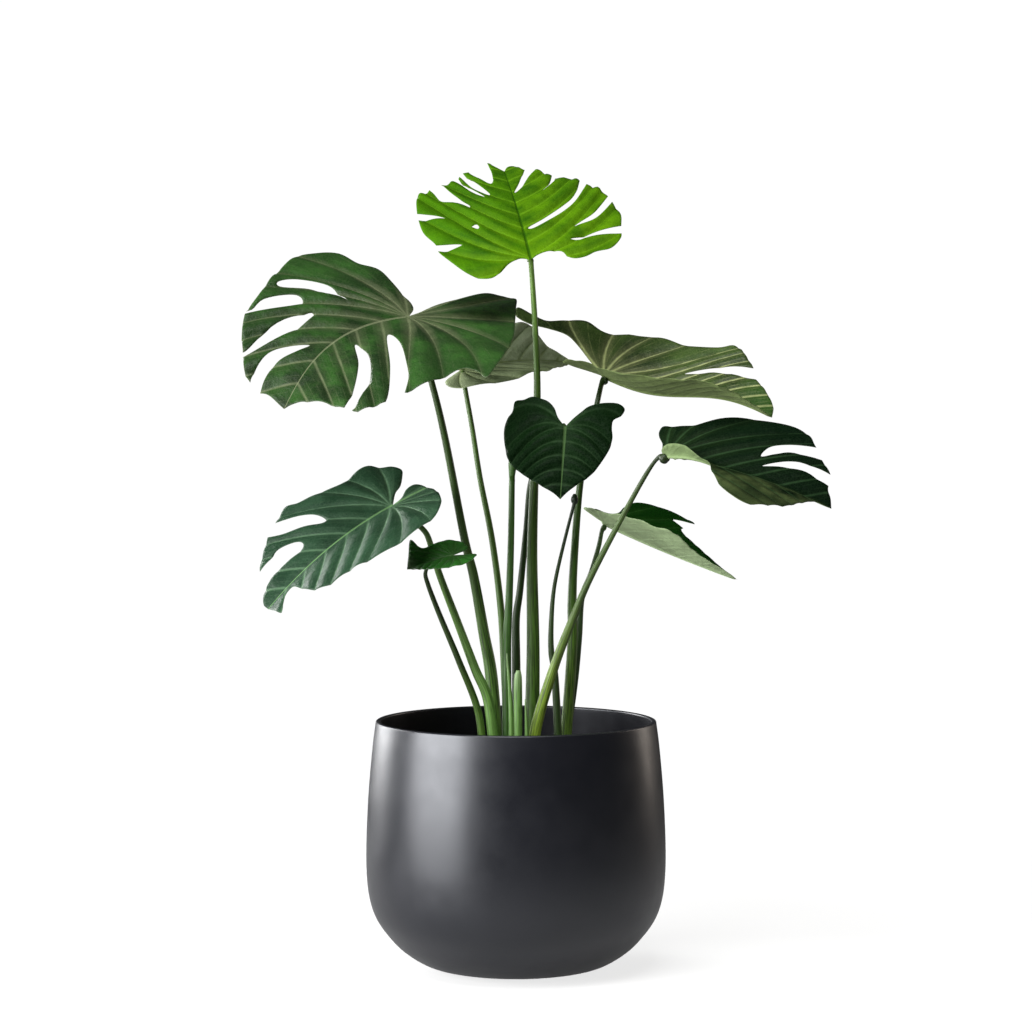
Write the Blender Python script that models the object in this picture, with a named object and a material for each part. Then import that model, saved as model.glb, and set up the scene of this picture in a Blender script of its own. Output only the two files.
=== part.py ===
"""A potted Swiss cheese plant: a round-bellied pot, its soil, and a clump of stalks with split leaves.

Metres, +Z up. The origin is the middle of the pot's flat foot, and the front of the plant faces -Y.
"""

import math

import bpy
import numpy as np
from mathutils import Vector
from mathutils.geometry import delaunay_2d_cdt

# The pot, as outside radii at rising heights.
POT_HEIGHT = 0.248
POT_WALL = 0.0050
POT_FLOOR = 0.010
FOOT_RADIUS = 0.057
POT_PROFILE = [
    (FOOT_RADIUS, 0.0),
    (0.0700, 0.0014),
    (0.0930, 0.0068),
    (0.1140, 0.0200),
    (0.1285, 0.0350),
    (0.1400, 0.0520),
    (0.1465, 0.0720),
    (0.1492, 0.0980),
    (0.1492, 0.1300),
    (0.1470, 0.1760),
    (0.1430, 0.2215),
    (0.1398, 0.2465),
]
RIM_ROUNDING = 0.0016
POT_SEGMENTS = 48

# The soil fills the pot to well below its rim.
SOIL_TOP = 0.203
SOIL_SEGMENTS = 40
GAP = 0.0004

# Blades are far thicker here than a real leaf, so that each is a sound solid.
BLADE_THICKNESS = 0.0012
MESH_STEP = 0.085
ROLL_START = 0.12
ROLL_LENGTH = 0.20
OUTLINE_STEPS = 2
CUT_STEPS = 1
STALK_SIDES = 8
STALK_STEPS = 2

# Each leaf is drawn flat first, in fractions of its midrib: x across, y from the stalk (0) to the tip (1).
# right and left are margins from the stalk round to the tip, with x as a distance from the midrib.
# Each cut is a closed loop: one that passes the margin is a slit, and the others are holes.
# The flat leaf is then bent: fold raises each half from the midrib (left, right), curl bends it outwards,
# roll raises the right half more near the stalk, droop bends the midrib, sway waves it,
# and face is the way the upper side looks. Angles are in degrees.
LEAVES = {
    "leaf_top": dict(
        junction=(0.014, -0.030, 0.706), tip=(-0.012, 0.115, 0.801), face=(0.0, -0.45, 0.9),
        droop=15, back_droop=0, fold=(5, 5), curl=(-10, -10),
        right=[(0.05, 0.02), (0.12, 0.04), (0.18, 0.02), (0.23, -0.05), (0.30, -0.05), (0.37, -0.01),
               (0.46, 0.01), (0.53, 0.10), (0.55, 0.20), (0.57, 0.34), (0.54, 0.50), (0.49, 0.64),
               (0.42, 0.71), (0.38, 0.77), (0.26, 0.84), (0.21, 0.92), (0.17, 0.97), (0.11, 0.98),
               (0.08, 1.05), (0.03, 1.06)],
        left=[(0.06, -0.01), (0.12, -0.05), (0.19, -0.13), (0.25, -0.18), (0.33, -0.16), (0.41, -0.09),
              (0.50, 0.06), (0.51, 0.15), (0.57, 0.27), (0.58, 0.43), (0.57, 0.58), (0.54, 0.70),
              (0.48, 0.72), (0.41, 0.83), (0.36, 0.81), (0.33, 0.84), (0.29, 0.87), (0.26, 0.96),
              (0.20, 0.98), (0.09, 1.12), (0.05, 1.08)],
        cuts=[[(0.15, 1.06), (0.10, 0.93), (0.06, 0.81), (0.015, 0.70), (0.05, 0.73), (0.12, 0.86),
               (0.19, 0.99)],
              [(0.28, 0.92), (0.235, 0.78), (0.17, 0.67), (0.25, 0.78), (0.31, 0.92)],
              [(0.41, 0.76), (0.34, 0.57), (0.26, 0.47), (0.14, 0.37), (0.035, 0.29), (0.06, 0.275),
               (0.16, 0.335), (0.27, 0.43), (0.36, 0.55), (0.46, 0.76)],
              [(0.58, 0.61), (0.47, 0.43), (0.40, 0.34), (0.29, 0.26), (0.39, 0.29), (0.48, 0.38),
               (0.61, 0.58)],
              [(0.62, 0.23), (0.50, 0.20), (0.38, 0.17), (0.25, 0.13), (0.40, 0.14), (0.62, 0.17)],
              [(-0.52, 0.82), (-0.46, 0.69), (-0.41, 0.59), (-0.27, 0.53), (-0.31, 0.60), (-0.37, 0.72),
               (-0.42, 0.90)],
              [(-0.34, 0.93), (-0.27, 0.75), (-0.22, 0.67), (-0.17, 0.63), (-0.22, 0.71), (-0.27, 0.81),
               (-0.31, 0.94)],
              [(-0.30, 0.96), (-0.24, 0.80), (-0.18, 0.72), (-0.13, 0.68), (-0.19, 0.80), (-0.27, 1.01)],
              [(-0.23, 1.04), (-0.21, 0.95), (-0.16, 0.88), (-0.10, 0.82), (-0.08, 0.96), (-0.10, 1.16)],
              [(-0.56, 0.10), (-0.47, 0.09), (-0.37, 0.12), (-0.46, 0.14), (-0.58, 0.16)],
              [(-0.64, 0.40), (-0.52, 0.39), (-0.43, 0.39), (-0.52, 0.43), (-0.64, 0.49)],
              [(-0.29, 0.30), (-0.26, 0.275), (-0.25, 0.29), (-0.26, 0.315)]],
    ),
    "leaf_upper_left": dict(
        junction=(-0.1065, -0.040, 0.6485), tip=(-0.215, -0.200, 0.5595), face=(-0.2, -0.6, 0.8),
        droop=25, back_droop=0, fold=(-5, 20), curl=(-10, -5),
        right=[(0.04, -0.11), (0.13, -0.17), (0.24, -0.22), (0.35, -0.26), (0.43, -0.20), (0.54, -0.19),
               (0.61, -0.08), (0.64, 0.01), (0.61, 0.14), (0.56, 0.31), (0.52, 0.44), (0.49, 0.57),
               (0.42, 0.70), (0.33, 0.82), (0.26, 0.91), (0.17, 0.97), (0.10, 0.97)],
        left=[(0.00, -0.10), (-0.01, -0.26), (0.00, -0.42), (0.03, -0.60), (0.10, -0.64), (0.18, -0.66),
              (0.28, -0.50), (0.38, -0.33), (0.47, -0.17), (0.55, 0.02), (0.60, 0.16), (0.64, 0.34),
              (0.58, 0.32), (0.51, 0.36), (0.46, 0.53), (0.42, 0.69), (0.37, 0.80), (0.31, 0.89),
              (0.18, 0.90), (0.07, 0.92), (0.02, 0.96)],
        cuts=[[(0.23, 0.16), (0.31, 0.175), (0.40, 0.22), (0.50, 0.31), (0.52, 0.29), (0.47, 0.21),
               (0.36, 0.14)],
              [(0.60, 0.68), (0.49, 0.58), (0.485, 0.45), (0.41, 0.33), (0.355, 0.33), (0.36, 0.40),
               (0.45, 0.55), (0.55, 0.72)],
              [(0.40, 0.89), (0.33, 0.80), (0.335, 0.60), (0.28, 0.39), (0.245, 0.41), (0.25, 0.55),
               (0.30, 0.76), (0.36, 0.91)],
              [(0.16, 1.03), (0.22, 0.91), (0.24, 0.76), (0.21, 0.66), (0.135, 0.59), (0.15, 0.66),
               (0.18, 0.78), (0.16, 0.91), (0.12, 1.03)],
              [(-0.26, 0.98), (-0.24, 0.86), (-0.20, 0.73), (-0.12, 0.58), (-0.01, 0.44), (-0.10, 0.48),
               (-0.19, 0.59), (-0.26, 0.74), (-0.29, 0.98)],
              [(-0.40, 0.84), (-0.36, 0.72), (-0.24, 0.51), (-0.07, 0.27), (-0.16, 0.31), (-0.27, 0.43),
               (-0.37, 0.57), (-0.46, 0.80)]],
    ),
    "leaf_upper_right": dict(
        junction=(0.0885, 0.040, 0.591), tip=(0.2525, -0.020, 0.549), face=(0.0, -0.32, 0.96),
        droop=4, back_droop=0, sway=-0.035, fold=(20, 32), curl=(0, 0),
        right=[(0.04, -0.08), (0.08, -0.17), (0.14, -0.21), (0.23, -0.16), (0.28, -0.08), (0.26, 0.01),
               (0.29, 0.10), (0.36, 0.22), (0.35, 0.42), (0.35, 0.60), (0.31, 0.76), (0.21, 0.87),
               (0.09, 0.95)],
        left=[(0.04, -0.06), (0.10, -0.13), (0.20, -0.24), (0.27, -0.34), (0.29, -0.46), (0.30, -0.58),
              (0.35, -0.69), (0.43, -0.71), (0.39, -0.60), (0.36, -0.50), (0.40, -0.40), (0.42, -0.28),
              (0.36, -0.14), (0.40, 0.02), (0.46, 0.15), (0.45, 0.30), (0.46, 0.50), (0.49, 0.59),
              (0.41, 0.68), (0.31, 0.77), (0.24, 0.80), (0.19, 0.87), (0.09, 0.97)],
        cuts=[[(-0.34, 0.86), (-0.305, 0.72), (-0.27, 0.56), (-0.195, 0.41), (-0.22, 0.54), (-0.22, 0.74),
               (-0.25, 0.88)]],
    ),
    "leaf_back": dict(
        junction=(-0.0545, 0.056, 0.597), tip=(0.060, 0.104, 0.603), face=(0.0, -0.14, 1.0),
        droop=25, back_droop=10, fold=(52, -3), curl=(-10, -10),
        right=[(0.06, -0.10), (0.16, -0.22), (0.34, -0.24), (0.50, -0.10), (0.55, 0.14), (0.50, 0.40),
               (0.38, 0.64), (0.20, 0.84), (0.06, 0.96)],
        left=[(0.06, -0.10), (0.16, -0.20), (0.30, -0.20), (0.40, -0.08), (0.43, 0.14), (0.39, 0.36),
              (0.36, 0.52), (0.37, 0.62), (0.33, 0.70), (0.17, 0.76), (0.08, 0.88)],
        cuts=[],
    ),
    "leaf_heart": dict(
        junction=(0.048, -0.040, 0.5395), tip=(0.043, -0.065, 0.4705), face=(0.0, -1.0, 0.3),
        droop=20, back_droop=10, fold=(5, 5), curl=(-30, -30),
        right=[(0.10, -0.15), (0.16, -0.29), (0.25, -0.39), (0.36, -0.44), (0.47, -0.47), (0.58, -0.43),
               (0.70, -0.41), (0.73, -0.25), (0.79, -0.14), (0.82, 0.06), (0.77, 0.37), (0.68, 0.56),
               (0.51, 0.70), (0.28, 0.83), (0.09, 0.93)],
        left=[(0.10, -0.15), (0.21, -0.27), (0.29, -0.35), (0.40, -0.41), (0.55, -0.46), (0.70, -0.48),
              (0.79, -0.42), (0.75, -0.30), (0.64, -0.19), (0.62, -0.06), (0.64, 0.10), (0.60, 0.28),
              (0.45, 0.56), (0.33, 0.70), (0.20, 0.80), (0.08, 0.91)],
        cuts=[],
    ),
    "leaf_right": dict(
        junction=(0.147, -0.060, 0.512), tip=(0.302, -0.110, 0.4631), face=(0.1, -0.7, 0.7),
        droop=30, back_droop=10, fold=(5, 35), curl=(-25, -25), roll=70,
        right=[(0.04, -0.03), (0.08, 0.01), (0.09, 0.09), (0.07, 0.17), (0.05, 0.24), (0.11, 0.30),
               (0.23, 0.36), (0.39, 0.45), (0.48, 0.54), (0.51, 0.62), (0.46, 0.69), (0.38, 0.77),
               (0.27, 0.82), (0.15, 0.86), (0.04, 0.90), (0.02, 0.95)],
        left=[(0.05, -0.05), (0.10, -0.07), (0.15, -0.11), (0.20, -0.13), (0.25, -0.12), (0.26, -0.04),
              (0.29, 0.06), (0.38, 0.18), (0.43, 0.29), (0.46, 0.43), (0.48, 0.59), (0.45, 0.69),
              (0.37, 0.77), (0.30, 0.82), (0.26, 0.87), (0.20, 0.92), (0.12, 0.93), (0.06, 0.97)],
        cuts=[[(-0.41, 0.86), (-0.36, 0.71), (-0.31, 0.60), (-0.25, 0.53), (-0.155, 0.51), (-0.21, 0.58),
               (-0.27, 0.67), (-0.31, 0.88)],
              [(-0.22, 0.99), (-0.22, 0.78), (-0.18, 0.66), (-0.085, 0.545), (-0.13, 0.65), (-0.16, 0.78),
               (-0.13, 0.99)]],
    ),
    "leaf_lower_right": dict(
        junction=(0.0885, 0.035, 0.4435), tip=(0.2185, -0.020, 0.389), face=(0.0, -0.10, 1.0),
        droop=-6, back_droop=0, fold=(22, 32), curl=(0, 0),
        right=[(0.03, -0.07), (0.10, -0.14), (0.19, -0.06), (0.24, 0.07), (0.34, 0.17), (0.35, 0.25),
               (0.43, 0.37), (0.43, 0.48), (0.49, 0.57), (0.44, 0.64), (0.36, 0.69), (0.23, 0.75),
               (0.14, 0.87), (0.07, 0.96)],
        left=[(0.05, -0.10), (0.09, -0.12), (0.11, -0.03), (0.16, 0.02), (0.24, 0.02), (0.33, 0.05),
              (0.39, 0.14), (0.42, 0.25), (0.42, 0.37), (0.39, 0.49), (0.29, 0.44), (0.23, 0.52),
              (0.18, 0.62), (0.12, 0.74), (0.06, 0.86), (0.025, 0.95)],
        cuts=[[(-0.43, 0.58), (-0.385, 0.47), (-0.355, 0.345), (-0.32, 0.40), (-0.30, 0.56)]],
    ),
    "leaf_lower_left": dict(
        junction=(-0.122, -0.070, 0.464), tip=(-0.237, -0.120, 0.3675), face=(-0.2, -0.65, 0.7),
        droop=30, back_droop=10, fold=(25, 0), curl=(-15, -15),
        right=[(0.08, -0.10), (0.12, -0.17), (0.19, -0.24), (0.25, -0.28), (0.32, -0.26), (0.37, -0.21),
               (0.44, -0.17), (0.45, -0.10), (0.42, 0.02), (0.41, 0.10), (0.45, 0.22), (0.48, 0.35),
               (0.53, 0.43), (0.48, 0.55), (0.42, 0.65), (0.36, 0.74), (0.26, 0.85), (0.18, 0.89),
               (0.13, 0.90), (0.10, 0.95), (0.05, 0.995)],
        left=[(-0.02, -0.10), (-0.07, -0.18), (-0.07, -0.25), (0.00, -0.28), (0.16, -0.25), (0.32, -0.17),
              (0.45, -0.06), (0.51, 0.04), (0.53, 0.20), (0.50, 0.37), (0.45, 0.50), (0.41, 0.57),
              (0.38, 0.67), (0.34, 0.73), (0.26, 0.77), (0.14, 0.79), (0.06, 0.81), (0.06, 0.87),
              (0.11, 0.92), (0.17, 0.97), (0.09, 0.985)],
        cuts=[[(0.54, 0.64), (0.45, 0.51), (0.38, 0.42), (0.30, 0.36), (0.21, 0.34), (0.20, 0.38),
               (0.27, 0.46), (0.35, 0.59), (0.47, 0.69)],
              [(0.25, 0.94), (0.26, 0.78), (0.275, 0.68), (0.21, 0.57), (0.145, 0.57), (0.14, 0.70),
               (0.15, 0.80), (0.13, 0.94)]],
    ),
    "leaf_small": dict(
        junction=(-0.0615, -0.082, 0.417), tip=(-0.105, -0.095, 0.404), face=(0.0, -0.60, 0.8),
        droop=15, back_droop=0, fold=(20, 0), curl=(0, 0),
        right=[(0.03, -0.16), (0.10, -0.38), (0.32, -0.37), (0.50, -0.08), (0.46, 0.28), (0.45, 0.50),
               (0.78, 0.62), (0.38, 0.82)],
        left=[(0.08, -0.18), (0.22, -0.44), (0.45, -0.26), (0.66, 0.10), (0.50, 0.50), (0.24, 0.80)],
        cuts=[],
    ),
}

# Stalks: middles from the soil up, then the radius at the soil and at the top.
STALKS = {
    "petiole_top": ([(0.015, -0.008, 0.2040), (0.017, -0.006, 0.308), (0.016, -0.005, 0.407),
                     (0.018, -0.006, 0.487), (0.021, -0.012, 0.571), (0.019, -0.020, 0.636),
                     (0.015, -0.027, 0.698)], 0.0080, 0.0026),
    "petiole_upper_left": ([(-0.019, -0.014, 0.2040), (-0.024, -0.014, 0.289), (-0.032, -0.015, 0.337),
                            (-0.042, -0.018, 0.393), (-0.051, -0.022, 0.431), (-0.069, -0.034, 0.526),
                            (-0.082, -0.040, 0.582), (-0.099, -0.037, 0.638)], 0.0072, 0.0030),
    "petiole_upper_right": ([(0.048, 0.010, 0.2040), (0.056, 0.009, 0.318), (0.056, 0.008, 0.367),
                             (0.058, 0.007, 0.412), (0.063, 0.006, 0.476), (0.070, 0.012, 0.517),
                             (0.081, 0.026, 0.563), (0.086, 0.036, 0.583)], 0.0060, 0.0026),
    "petiole_back": ([(-0.007, 0.016, 0.2040), (-0.011, 0.016, 0.289), (-0.015, 0.018, 0.356),
                      (-0.024, 0.022, 0.427), (-0.036, 0.028, 0.488), (-0.044, 0.035, 0.538),
                      (-0.053, 0.046, 0.588)], 0.0045, 0.0025),
    "petiole_heart": ([(0.001, 0.005, 0.2040), (0.000, 0.006, 0.304), (0.000, 0.007, 0.348),
                       (0.004, 0.008, 0.378), (0.010, 0.010, 0.437), (0.014, 0.010, 0.482),
                       (0.025, 0.006, 0.515), (0.039, -0.010, 0.537), (0.046, -0.029, 0.542)],
                      0.0050, 0.0022),
    "petiole_right": ([(0.016, -0.040, 0.2040), (0.020, -0.040, 0.246), (0.037, -0.040, 0.303),
                       (0.056, -0.042, 0.353), (0.072, -0.044, 0.391), (0.101, -0.048, 0.447),
                       (0.125, -0.052, 0.491), (0.138, -0.055, 0.510)], 0.0066, 0.0021),
    "petiole_lower_right": ([(0.047, 0.027, 0.2040), (0.058, 0.026, 0.279), (0.063, 0.025, 0.327),
                             (0.066, 0.024, 0.368), (0.075, 0.024, 0.393), (0.083, 0.026, 0.420),
                             (0.086, 0.030, 0.434)], 0.0045, 0.0022),
    "petiole_lower_left": ([(-0.020, -0.036, 0.2040), (-0.027, -0.036, 0.269), (-0.040, -0.037, 0.302),
                            (-0.056, -0.040, 0.345), (-0.075, -0.046, 0.396), (-0.083, -0.050, 0.424),
                            (-0.090, -0.055, 0.440), (-0.110, -0.062, 0.456)], 0.0058, 0.0026),
    "petiole_small": ([(-0.032, -0.034, 0.2040), (-0.037, -0.036, 0.259), (-0.056, -0.045, 0.311),
                       (-0.075, -0.055, 0.358), (-0.086, -0.062, 0.388), (-0.088, -0.066, 0.400),
                       (-0.082, -0.071, 0.4085), (-0.072, -0.076, 0.4115)], 0.0042, 0.0016),
    "petiole_furled": ([(-0.009, -0.030, 0.2040), (-0.009, -0.028, 0.318), (-0.007, -0.025, 0.368),
                        (-0.005, -0.022, 0.427), (-0.004, -0.018, 0.492)], 0.0052, 0.0030),
}
FURLED_LEAF = ([(-0.0040, -0.0178, 0.4924), (-0.003, -0.018, 0.506), (0.000, -0.017, 0.524),
                (0.005, -0.015, 0.541), (0.010, -0.013, 0.554)],
               [0.0031, 0.0046, 0.0048, 0.0034, 0.0008])
BUD_STALK = ([(0.043, -0.008, 0.2040), (0.039, -0.008, 0.289), (0.035, -0.008, 0.318), (0.035, -0.008, 0.346),
              (0.037, -0.007, 0.374), (0.041, -0.006, 0.397), (0.050, -0.010, 0.435), (0.057, -0.012, 0.462),
              (0.058, -0.012, 0.466), (0.058, -0.012, 0.470), (0.058, -0.012, 0.474)],
             [0.0042, 0.0036, 0.0030, 0.0025, 0.0021, 0.0019, 0.0017, 0.0018, 0.0034, 0.0036, 0.0012])
SHOOTS = {
    "shoot_tall": ([(-0.005, -0.041, 0.2040), (-0.005, -0.041, 0.262), (-0.009, -0.041, 0.318)],
                   [0.0026, 0.0024, 0.0006]),
    "shoot_middle": ([(0.002, -0.049, 0.2040), (0.002, -0.049, 0.255), (0.002, -0.049, 0.292),
                      (0.0025, -0.049, 0.302)], [0.0040, 0.0042, 0.0040, 0.0022]),
    "shoot_short": ([(0.0105, -0.050, 0.2040), (0.0105, -0.051, 0.242), (0.0090, -0.053, 0.274)],
                    [0.0022, 0.0019, 0.0005]),
}


def clear_scene():
    for thing in list(bpy.data.objects):
        bpy.data.objects.remove(thing, do_unlink=True)


def new_material(name, colour, roughness):
    """A plain Principled material."""
    material = bpy.data.materials.new(name)
    material.use_nodes = True
    shader = material.node_tree.nodes["Principled BSDF"]
    shader.inputs["Base Color"].default_value = (*colour, 1.0)
    shader.inputs["Roughness"].default_value = roughness
    return material


def new_object(name, points, faces, material, smooth=True):
    """One named mesh object from its points and faces."""
    mesh = bpy.data.meshes.new(name)
    mesh.from_pydata([tuple(float(c) for c in point) for point in points], [], faces)
    mesh.materials.append(material)
    if smooth:
        mesh.shade_smooth()
    thing = bpy.data.objects.new(name, mesh)
    bpy.context.scene.collection.objects.link(thing)
    return thing


def smooth_line(points, steps):
    """A Catmull-Rom curve through the points, in this many steps between each two."""
    middle = np.array(points, float)
    first = 2 * middle[:1] - middle[1:2]
    last = 2 * middle[-1:] - middle[-2:-1]
    padded = np.vstack([first, middle, last])
    rows = []
    for k in range(1, len(padded) - 2):
        a, b, c, d = padded[k - 1 : k + 3]
        for t in np.linspace(0, 1, steps, endpoint=False):
            square = 2 * a - 5 * b + 4 * c - d
            cube = 3 * b - a - 3 * c + d
            rows.append(0.5 * (2 * b + (c - a) * t + square * t**2 + cube * t**3))
    rows.append(middle[-1])
    return np.array(rows)


def lathe(name, profile, segments, material):
    """A solid turned round Z from (radius, height) pairs, from the axis, round the outside, to the axis."""
    angles = [2 * math.pi * k / segments for k in range(segments)]
    points = [(0, 0, profile[0][1])]
    for radius, height in profile[1:-1]:
        points += [(radius * math.cos(a), radius * math.sin(a), height) for a in angles]
    points.append((0, 0, profile[-1][1]))
    rings = len(profile) - 2
    last = len(points) - 1
    faces = []
    for k in range(segments):
        after = (k + 1) % segments
        faces.append((0, 1 + after, 1 + k))
        for ring in range(rings - 1):
            low = 1 + ring * segments
            high = low + segments
            faces.append((low + k, low + after, high + after, high + k))
        top = 1 + (rings - 1) * segments
        faces.append((top + k, top + after, last))
    thing = new_object(name, points, faces, material)
    thing.data.set_sharp_from_angle(angle=math.radians(40))
    return thing


def pot_outside():
    """The outside of the pot, from the foot to just under the rim."""
    return smooth_line(POT_PROFILE, 1)


def pot_inside():
    """The inside of the pot, from just under the rim down to its floor."""
    outside = smooth_line(POT_PROFILE, 1)
    inner = [(r - POT_WALL, z) for r, z in outside if z > POT_FLOOR + 0.012]
    corner = [(0.098, POT_FLOOR + 0.0085), (0.075, POT_FLOOR + 0.002), (0.055, POT_FLOOR)]
    return inner[::-1] + corner


def make_pot(material):
    outside = [tuple(point) for point in pot_outside()]
    inside = pot_inside()
    rim_radius = outside[-1][0]
    rim = [(rim_radius - RIM_ROUNDING, POT_HEIGHT), (rim_radius - POT_WALL + RIM_ROUNDING, POT_HEIGHT)]
    profile = [(0, 0.0)] + outside + rim + inside + [(0, POT_FLOOR)]
    return lathe("pot", profile, POT_SEGMENTS, material)


def make_soil(material):
    """Soil a hair clear of the pot's inside, a little higher in the middle."""
    below = [(r - GAP * 1.5, z + GAP) for r, z in pot_inside() if z < SOIL_TOP - 0.02][::-1]
    edge = np.interp(SOIL_TOP - 0.006, [z for _, z in POT_PROFILE], [r for r, _ in POT_PROFILE])
    top_edge = [(edge - POT_WALL - 3 * GAP, SOIL_TOP - 0.006)]
    top = [(0.110, SOIL_TOP - 0.003), (0.070, SOIL_TOP)]
    profile = [(0, POT_FLOOR + GAP)] + below + top_edge + top + [(0, SOIL_TOP)]
    return lathe("soil", profile, SOIL_SEGMENTS, material)


def make_tube(name, middles, radii, material, steps=STALK_STEPS):
    """A closed round stalk along a smooth line through the middles, with a radius at each."""
    rows = smooth_line([(*m, r) for m, r in zip(middles, radii)], steps)
    centres, sizes = rows[:, :3], np.maximum(rows[:, 3], 0.0004)
    ways = np.gradient(centres, axis=0)
    points = []
    side = Vector((1, 0, 0))
    for centre, size, way in zip(centres, sizes, ways):
        forward = Vector(way).normalized()
        side = (side - forward * side.dot(forward)).normalized()
        across = forward.cross(side)
        for k in range(STALK_SIDES):
            angle = 2 * math.pi * k / STALK_SIDES
            offset = side * math.cos(angle) + across * math.sin(angle)
            points.append(Vector(centre) + offset * float(size))
    rings = len(centres)
    faces = []
    for ring in range(rings - 1):
        low = ring * STALK_SIDES
        high = low + STALK_SIDES
        for k in range(STALK_SIDES):
            after = (k + 1) % STALK_SIDES
            faces.append((low + k, low + after, high + after, high + k))
    faces.append(tuple(range(STALK_SIDES))[::-1])
    faces.append(tuple(range((rings - 1) * STALK_SIDES, rings * STALK_SIDES)))
    return new_object(name, points, faces, material)


def stalk_radii(count, low, high):
    """A stalk thins quickly above its sheathing base, then slowly."""
    share = np.linspace(0, 1, count)
    return high + (low - high) * (1 - share) ** 1.6


def unit(vector):
    vector = np.array(vector, float)
    return vector / np.linalg.norm(vector)


class BentLeaf:
    """Takes flat leaf coordinates to places in space."""

    def __init__(self, leaf):
        self.start = np.array(leaf["junction"], float)
        chord = np.array(leaf["tip"], float) - self.start
        self.along = unit(chord)
        self.side = unit(np.cross(self.along, leaf["face"]))
        self.up = np.cross(self.side, self.along)
        self.droop = math.radians(leaf["droop"])
        self.back_droop = math.radians(leaf["back_droop"])
        self.fold = np.radians(leaf["fold"])
        self.curl = np.radians(leaf["curl"])
        self.sway = leaf.get("sway", 0.0)
        self.roll = math.radians(leaf.get("roll", 0.0))
        half = self.droop / 2
        self.length = np.linalg.norm(chord) * half / math.sin(half)

    def place(self, flat):
        """The place in space of each (x, y) of the flat leaf."""
        x, y = np.array(flat, float).T
        half = self.droop / 2
        bend = np.where(y >= 0, self.droop, self.back_droop) + 1e-6
        angle = half - bend * y
        run = (np.sin(half) - np.sin(angle)) / bend
        rise = (np.cos(angle) - np.cos(half)) / bend
        rise = rise + self.sway * np.sin(2 * math.pi * np.clip(y, 0, 1))
        near_stalk = 1 - np.clip((y - ROLL_START) / ROLL_LENGTH, 0, 1)
        fold = np.where(x < 0, self.fold[0], self.fold[1] + self.roll * near_stalk)
        curl = np.where(x < 0, *self.curl) + 1e-6
        tilt = fold + curl * np.abs(x)
        out = np.sign(x) * (np.sin(tilt) - np.sin(fold)) / curl
        lift = (np.cos(fold) - np.cos(tilt)) / curl
        forward = run - lift * np.sin(angle)
        upward = rise + lift * np.cos(angle)
        moved = np.outer(out, self.side) + np.outer(forward, self.along) + np.outer(upward, self.up)
        return self.start + self.length * moved

    def normals(self, flat):
        """The way that the upper side faces at each (x, y)."""
        flat = np.array(flat, float)
        step = 1e-3
        across = self.place(flat + (step, 0)) - self.place(flat - (step, 0))
        onward = self.place(flat + (0, step)) - self.place(flat - (0, step))
        crossed = np.cross(across, onward)
        return crossed / np.linalg.norm(crossed, axis=1)[:, None]


def leaf_outline(leaf):
    """The whole margin of the flat leaf, anticlockwise from the stalk."""
    right = smooth_line([(0, -0.02)] + leaf["right"] + [(0, 1)], OUTLINE_STEPS)
    left = smooth_line([(0, -0.02)] + [(-x, y) for x, y in leaf["left"]] + [(0, 1)], OUTLINE_STEPS)
    return np.vstack([right, left[-2:0:-1]])


def cut_outline(cut):
    """The edge of a slit or a hole, as a closed loop."""
    return smooth_line(cut + cut[:1], CUT_STEPS)[:-1]


def inside(points, loop):
    """Whether each point is inside the closed loop."""
    x, y = points[:, :1], points[:, 1:]
    x0, y0 = loop.T
    x1, y1 = np.roll(loop, -1, axis=0).T
    spans = (y0 > y) != (y1 > y)
    rise = np.where(np.abs(y1 - y0) < 1e-12, 1e-12, y1 - y0)
    crosses = spans & (x < (x1 - x0) * (y - y0) / rise + x0)
    return crosses.sum(axis=1) % 2 == 1


def flat_blade(leaf, spacing):
    """The flat leaf as points and triangles, with its slits and holes cut out."""
    outline = leaf_outline(leaf)
    cuts = [cut_outline(cut) for cut in leaf["cuts"]]
    low, high = outline.min(axis=0), outline.max(axis=0)
    columns = np.arange(low[0], high[0], spacing)
    rows = np.arange(low[1], high[1], spacing * 0.87)
    grid = np.array([(x + (k % 2) * spacing / 2, y) for k, y in enumerate(rows) for x in columns])
    midrib = np.column_stack([np.zeros(len(rows)), np.clip(rows, 0.0, 0.97)])
    grid = np.vstack([grid[np.abs(grid[:, 0]) > spacing * 0.4], midrib])
    loops = [outline] + cuts
    edge_points = np.vstack(loops)
    apart = np.linalg.norm(grid[:, None] - edge_points[None], axis=2).min(axis=1) > spacing * 0.45
    grid = grid[apart & inside(grid, outline)]
    corners = np.vstack([edge_points, grid])
    edges = []
    start = 0
    for loop in loops:
        count = len(loop)
        edges += [(start + k, start + (k + 1) % count) for k in range(count)]
        start += count
    found = delaunay_2d_cdt([Vector(c) for c in corners], edges, [], 0, 1e-5)
    points = np.array([tuple(v) for v in found[0]])
    faces = np.array(found[2])
    centres = points[faces].mean(axis=1)
    keep = inside(centres, outline)
    for cut in cuts:
        keep &= ~inside(centres, cut)
    return points, faces[keep]


def make_blade(name, leaf, material):
    """A closed blade of even thickness."""
    flat, faces = flat_blade(leaf, MESH_STEP)
    used, index = np.unique(faces, return_inverse=True)
    flat, faces = flat[used], index.reshape(-1, 3)
    bent = BentLeaf(leaf)
    centres = bent.place(flat)
    half = bent.normals(flat) * BLADE_THICKNESS / 2
    count = len(flat)
    upper = [tuple(int(k) for k in face) for face in faces]
    lower = [tuple(k + count for k in face[::-1]) for face in upper]
    pairs = {(face[k], face[(k + 1) % 3]) for face in upper for k in range(3)}
    rim = [(b, a, a + count, b + count) for a, b in sorted(pairs) if (b, a) not in pairs]
    points = np.vstack([centres + half, centres - half])
    return new_object(name, points, upper + lower + rim, material)


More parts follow.
